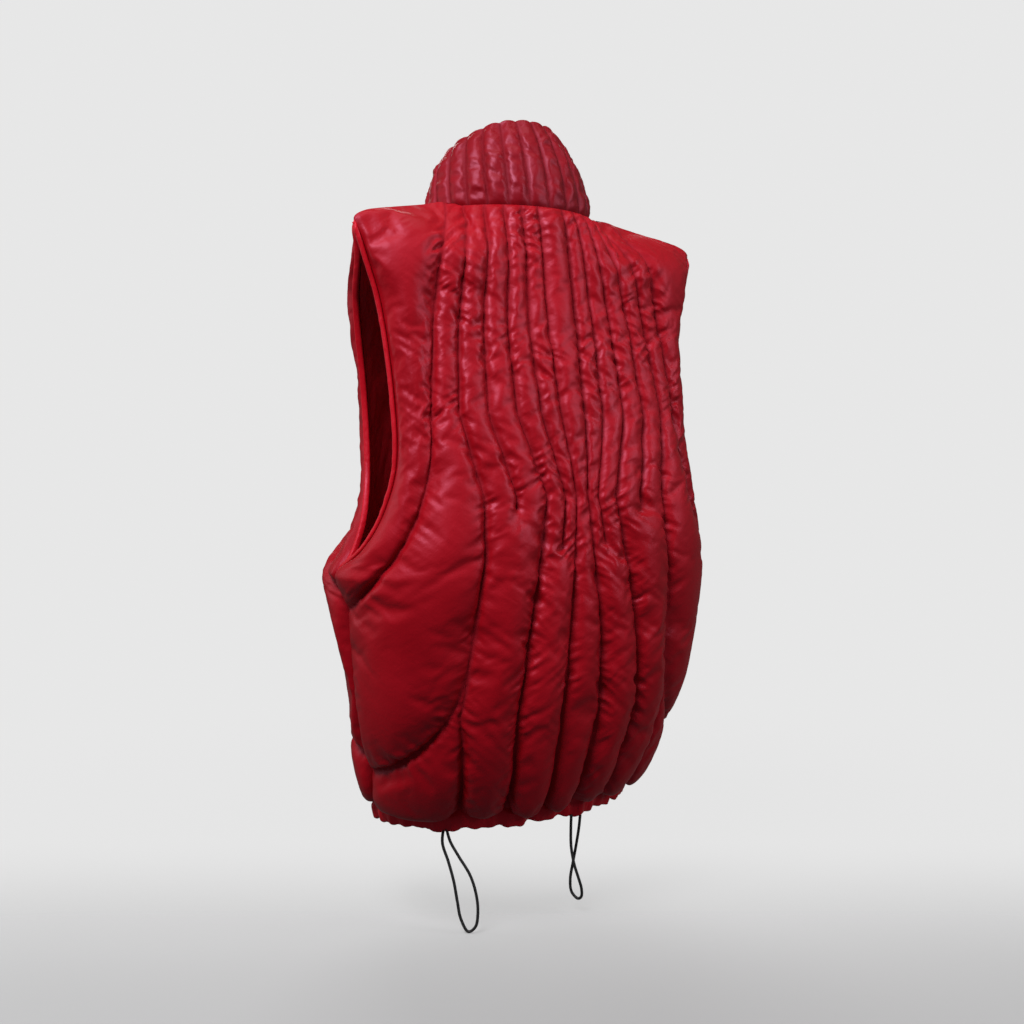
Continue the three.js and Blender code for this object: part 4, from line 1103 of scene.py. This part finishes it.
def collar():
    """A closed quilted band: up its outer face, over the rim, and down its inner face."""
    per_channel = 8
    columns = COLLAR["channels"] * per_channel
    heights, share, fold = folded_rows(np.linspace(0, COLLAR["fold_at"], 27),
                                       np.linspace(COLLAR["fold_at"], 0, 21))
    turn, heights = np.broadcast_arrays(np.linspace(-1, 1, columns + 1), heights)
    phase = np.arange(columns + 1) % per_channel / per_channel
    arch = 2 * np.sqrt(phase * (1 - phase))
    fade = np.minimum(1, 1.3 * np.sqrt(np.sin(np.pi * 0.94 * heights)))
    ends = smooth((1 - np.abs(turn)) * 24)
    outside = COLLAR["puff"] * arch * fade * 0.8 * (1 - 0.4 * smooth((heights - 0.75) / 0.25))
    inside = -(SEAM_WALL + COLLAR["inner_puff"] * arch * fade) * ends * smooth(heights / 0.05)
    lift = outside * (1 - share) + inside * share
    roll = fold * (outside - inside) * 0.5
    place, out = collar_point(turn, heights), collar_normal(turn, heights)
    above = unit(collar_point(turn, heights + 0.01) - place)
    middle = columns // 2
    middle_run = run_of(place[:, middle] + out[:, middle] * lift[:, [middle]])[:, None]
    across, along = np.broadcast_arrays(run_of(neck_point(turn[0] * FRONT_ANGLE)), middle_run)
    crease = wavy(np.stack([across * 0.45, along, np.full_like(along, 70.0)], -1), 9, 5)
    start = place + out * (lift + arch * crease * 0.8 * np.sign(0.5 - share) * ends)[..., None]
    start = start + above * roll[..., None]
    start[[0, -1]] -= out[[0, -1]] * COLLAR["foot_in"] + np.array([0, 0, COLLAR["foot_down"]])
    gap = np.minimum(phase, 1 - phase) * (COLLAR["round"] / COLLAR["channels"]) + 50 * np.clip(fold, 0, 1)
    held = (gap < 0.01) & (heights < 0.95) | (heights < 0.001) | (np.abs(turn) > 0.999)
    extras = {"stitch_gap": gap, "stitch_run": along, "held": held, "across": across, "down": along,
              "rise": outside * (1 - share) * ends}
    bm = closed_mesh(start, cloth_map(across, along), extras)
    piece = finish_piece(bm, "quilted_collar", SHADED_COLLAR_SHELL, ["collar"])
    fill_and_crease(piece, pressure=1.6, cap=3 * MM, seed=27, depth=1.2)


collar()


# Hem casing, bound armholes and lining

def hem_casing():
    """A strip folded double and gathered on its elastic, its gathers uneven and deepest at the cords."""
    t = np.linspace(0, 1, CASING["gathers"] * 14 + 1)
    down = np.linspace(0, 1, 15)
    depth, share, fold = folded_rows(down, down[::-1])
    run = t * 2 * HALF_HEM
    wave = 0.45 * gather(t) + 1.5 * wavy_run(run, 16, 14)
    uneven = 0.9 + 0.6 * wavy_run(run, 45, 11)
    at_cord = sum(np.exp(-((run - place * 2 * HALF_HEM) / 11) ** 2) for _, place, _ in CORDS)
    fine_places = np.stack(np.broadcast_arrays(run, depth * 5, share * 9), -1)
    fine = wavy(fine_places, 4.2, 12) + 0.6 * wavy(fine_places, 2.3, 13)
    ends = smooth(np.minimum(t, 1 - t) * 2 * HALF_HEM / 5)
    tucked = 1 - smooth(depth / 0.12)
    swell = np.sin(np.pi * depth ** 0.8)
    outside = 2.6 * swell + 0.2 * depth + CASING["ripple"] * wave * uneven * smooth(depth * 3) * 0.8
    outside = outside + fine * 0.75 * smooth(depth * 4)
    inside = outside * 0.25 - CASING["wall"] * (smooth(depth * 5) * 0.85 + 0.15)
    lift = outside * (1 - share) + (outside * (1 - ends) + inside * ends) * share - 0.9 * tucked
    drop = SEAM_GAP + depth * (CASING["height"] - 2.2) + depth * CASING["scallop"] * wave * uneven
    drop = drop * (1 - at_cord) + at_cord * (SEAM_GAP + depth * (CASING["height"] + 1.5))
    drop = drop - 2.2 * tucked + fold * 2.0 + depth * fine * 0.3
    start = hem_points(t) + hem_out(t) * lift[..., None] - np.array([0, 0, 1.0]) * drop[..., None]
    flat = cloth_map(run, np.linspace(0, CASING["cut_width"], len(depth))[:, None])
    finish_piece(closed_mesh(start, flat), "gathered_casing", LIGHTENED_PLAIN_SHELL, ["hem_casing"])


hem_casing()


def shared_inward(panel, level):
    """The way into the wall along the armhole, which turns from down at the shoulder to flat below."""
    inward = -panel.normals(np.ones_like(level), level)
    from_shoulder = (1 - smooth(-level / 16))[:, None]
    inward = inward * (1 - from_shoulder) + np.array([0, 0, -1.0]) * from_shoulder
    to_side = (1 - smooth((level - UNDERARM_LEVEL) / 72))[:, None]
    return unit(inward * (1 - to_side) + np.array([-1.0, 0, 0]) * to_side)


def armhole_binding(name, side):
    """A narrow folded strip round the armhole, a little puckered where it is sewn down."""
    up = np.linspace(UNDERARM_LEVEL, 0, 120)
    down = up[-2:0:-1]
    places = np.concatenate([back.points(np.ones(len(up)), up), front.points(np.ones(len(down)), down)])
    inward = np.concatenate([shared_inward(back, up), shared_inward(front, down)])
    along = unit(np.roll(places, -1, 0) - np.roll(places, 1, 0))
    beyond = unit(np.cross(along, inward))
    out = unit(np.cross(beyond, along))
    out = np.where(((out * inward).sum(-1) > 0)[:, None], -out, out)
    turn = np.linspace(0, 2 * np.pi, BINDING["sides"] + 1)
    run = run_of(places)
    pucker = 0.35 * wavy_run(run, 5, 21)[:, None] * np.clip(np.cos(turn - 0.6), 0, 1)
    round_x, round_y = (np.sign(wave) * np.abs(wave) ** 0.7 for wave in (np.cos(turn), np.sin(turn)))
    half_width, half_height = BINDING["width"] / 2, (BINDING["outside"] + BINDING["inside"]) / 2
    reach = BINDING["near"] + half_width + half_width * round_x + pucker
    rise = (BINDING["outside"] - BINDING["inside"]) / 2 + half_height * round_y + pucker
    tip = np.exp(-(np.concatenate([up, down]) / 15) ** 2)[:, None]
    reach = reach * (1 - 0.6 * tip) - 2.4 * tip
    rise = rise * (1 - 0.5 * tip)
    rings = square_tips(places[:, None] + beyond[:, None] * reach[..., None] + out[:, None] * rise[..., None])
    rings[..., 2] -= 3 * tip
    rings = np.concatenate([rings, rings[:1]]) * np.array([side, 1, 1])
    run = np.append(run, run[-1] + np.linalg.norm(places[0] - places[-1]))[:, None]
    flat = cloth_map(run, np.linspace(0, BINDING["cut_width"], BINDING["sides"] + 1))
    finish_piece(closed_mesh(rings, flat, fill_ends=True), name, LIGHTENED_PLAIN_SHELL,
                 [name.replace("bound_armhole", "armhole_binding")])


armhole_binding("bound_armhole_left", 1)
armhole_binding("bound_armhole_right", -1)


LINING_ROWS = 116
LINING_SHARE = 0.992


def lining(name, panel, columns, side, seed):
    """A loose satin lining just inside the filling, in soft slanting folds away from its seams."""
    levels = np.linspace(-0.8, HEM_LEVEL + 1, LINING_ROWS)
    low = 0.0 if panel.start_x else -LINING_SHARE
    s, level = np.meshgrid(np.linspace(low, LINING_SHARE, columns), levels)
    width = panel.width(level)
    across = s * width
    edge = np.minimum.reduce([(1 - np.abs(s)) * width, -level, level - HEM_LEVEL])
    if panel.start_x:
        edge = np.minimum(edge, across)
    slanted = np.stack([across * 0.9 + level * 0.35, level * 0.33, np.full_like(level, seed * 30.0)], -1)
    folds = np.clip(0.5 + 0.9 * wavy(slanted, 42, seed), 0, 1.4) * 4 + np.abs(wavy(slanted, 17, seed + 1)) * 2
    depth = LINING_DEPTH * (0.2 + 0.8 * smooth(-level / 9)) + folds * smooth(edge / 30)
    start = square_tips(panel.points(s, level) - outward(panel, s, level) * depth[..., None])
    bm = grid_mesh(start * np.array([side, 1, 1]), cloth_map(across, level))
    face_out(bm)
    bmesh.ops.reverse_faces(bm, faces=bm.faces)
    piece = finish_piece(bm, name, LINING, [name.replace("satin_", "")])


lining("satin_lining_back", back, 150, 1, 31)
lining("satin_lining_front_left", front, 76, 1, 32)
lining("satin_lining_front_right", front, 76, -1, 33)


# Zip

ZIP = {"top_gap": 7, "sunk": 0.6, "pitch": 1.35, "tape": 0.8}
TOOTH = {"size": (3.9, 2.5, 1.05), "offset": 1.05, "taper": 0.72, "bevel": 0.28}
ZIP_LEVELS = (0, -26, -50, -98, -146, -194, -242, -266, -290, -314, -338, UNDERARM_LEVEL, -434, -506, -572,
              HEM_LEVEL)


def centre_front():
    points = [collar_point(np.array(1.0), np.array(height)) for height in (1, 0.6, 0.25)]
    points[0][2] -= ZIP["top_gap"]
    points += [front.points(np.array([0.0]), np.array([float(level)]))[0] for level in ZIP_LEVELS]
    foot = points[-1].copy()
    foot[2] = HEM_LEVEL - CASING["height"] + 1
    line = np.array(points + [foot])
    line[:, 0] = 0
    line[:, 1] += ZIP["sunk"]
    return EvenCurve(line)


def zip_chain():
    """Moulded teeth that close in turn from the left and the right."""
    line = centre_front()
    count = int(line.length / ZIP["pitch"])
    bm = bmesh.new()
    for index in range(count):
        share = (index + 0.5) / count
        ahead = line.at(np.array(min(1, share + 0.004))) - line.at(np.array(max(0, share - 0.004)))
        lean = Matrix.Rotation(math.atan2(ahead[1], -ahead[2]), 3, "X")
        side = 1 if index % 2 else -1
        made = bmesh.ops.create_cube(bm, size=1)["verts"]
        bmesh.ops.scale(bm, vec=Vector(TOOTH["size"]) * MM, verts=made)
        for vert in made:
            if vert.co.x * side < 0:
                vert.co.z *= TOOTH["taper"]
        bmesh.ops.translate(bm, vec=Vector((side * TOOTH["offset"] * MM, 0, 0)), verts=made)
        bmesh.ops.rotate(bm, cent=(0, 0, 0), matrix=lean, verts=made)
        bmesh.ops.translate(bm, vec=Vector(line.at(np.array(share))) * MM, verts=made)
    bmesh.ops.bevel(bm, geom=bm.edges, offset=TOOTH["bevel"] * MM, affect="EDGES", segments=1, profile=0.5,
                    material=-1)
    piece = finish_piece(bm, "zip_teeth", METAL, ["zip_chain"])
    piece.data.shade_flat()


zip_chain()


def zip_tape(name, side):
    """A woven tape from under the front panel's edge to the middle of the chain."""
    line = centre_front()
    share = np.linspace(0, 1, 200)
    reach = np.linspace(0.25, ZIP_HALF + 0.9, 7)
    places = np.repeat(line.at(share)[:, None], len(reach), 1)
    places[..., 0] = side * reach
    places[..., 1] += 0.5 * smooth((reach - ZIP_HALF + 1.5) / 1.5)
    bm = grid_mesh(places, cloth_map(reach, share[:, None] * line.length))
    if sum(face.normal.y for face in bm.faces) > 0:
        bmesh.ops.reverse_faces(bm, faces=bm.faces)
    piece = finish_piece(bm, name, TAPE, [name.replace("woven", "zip")])
    wall = piece.modifiers.new("wall", "SOLIDIFY")
    wall.thickness = ZIP["tape"] * MM
    wall.offset = 0


zip_tape("woven_tape_left", 1)
zip_tape("woven_tape_right", -1)
for node in ("zip_slider", "zip_pull_tab"):
    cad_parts[node].material_slots[0].material = METAL
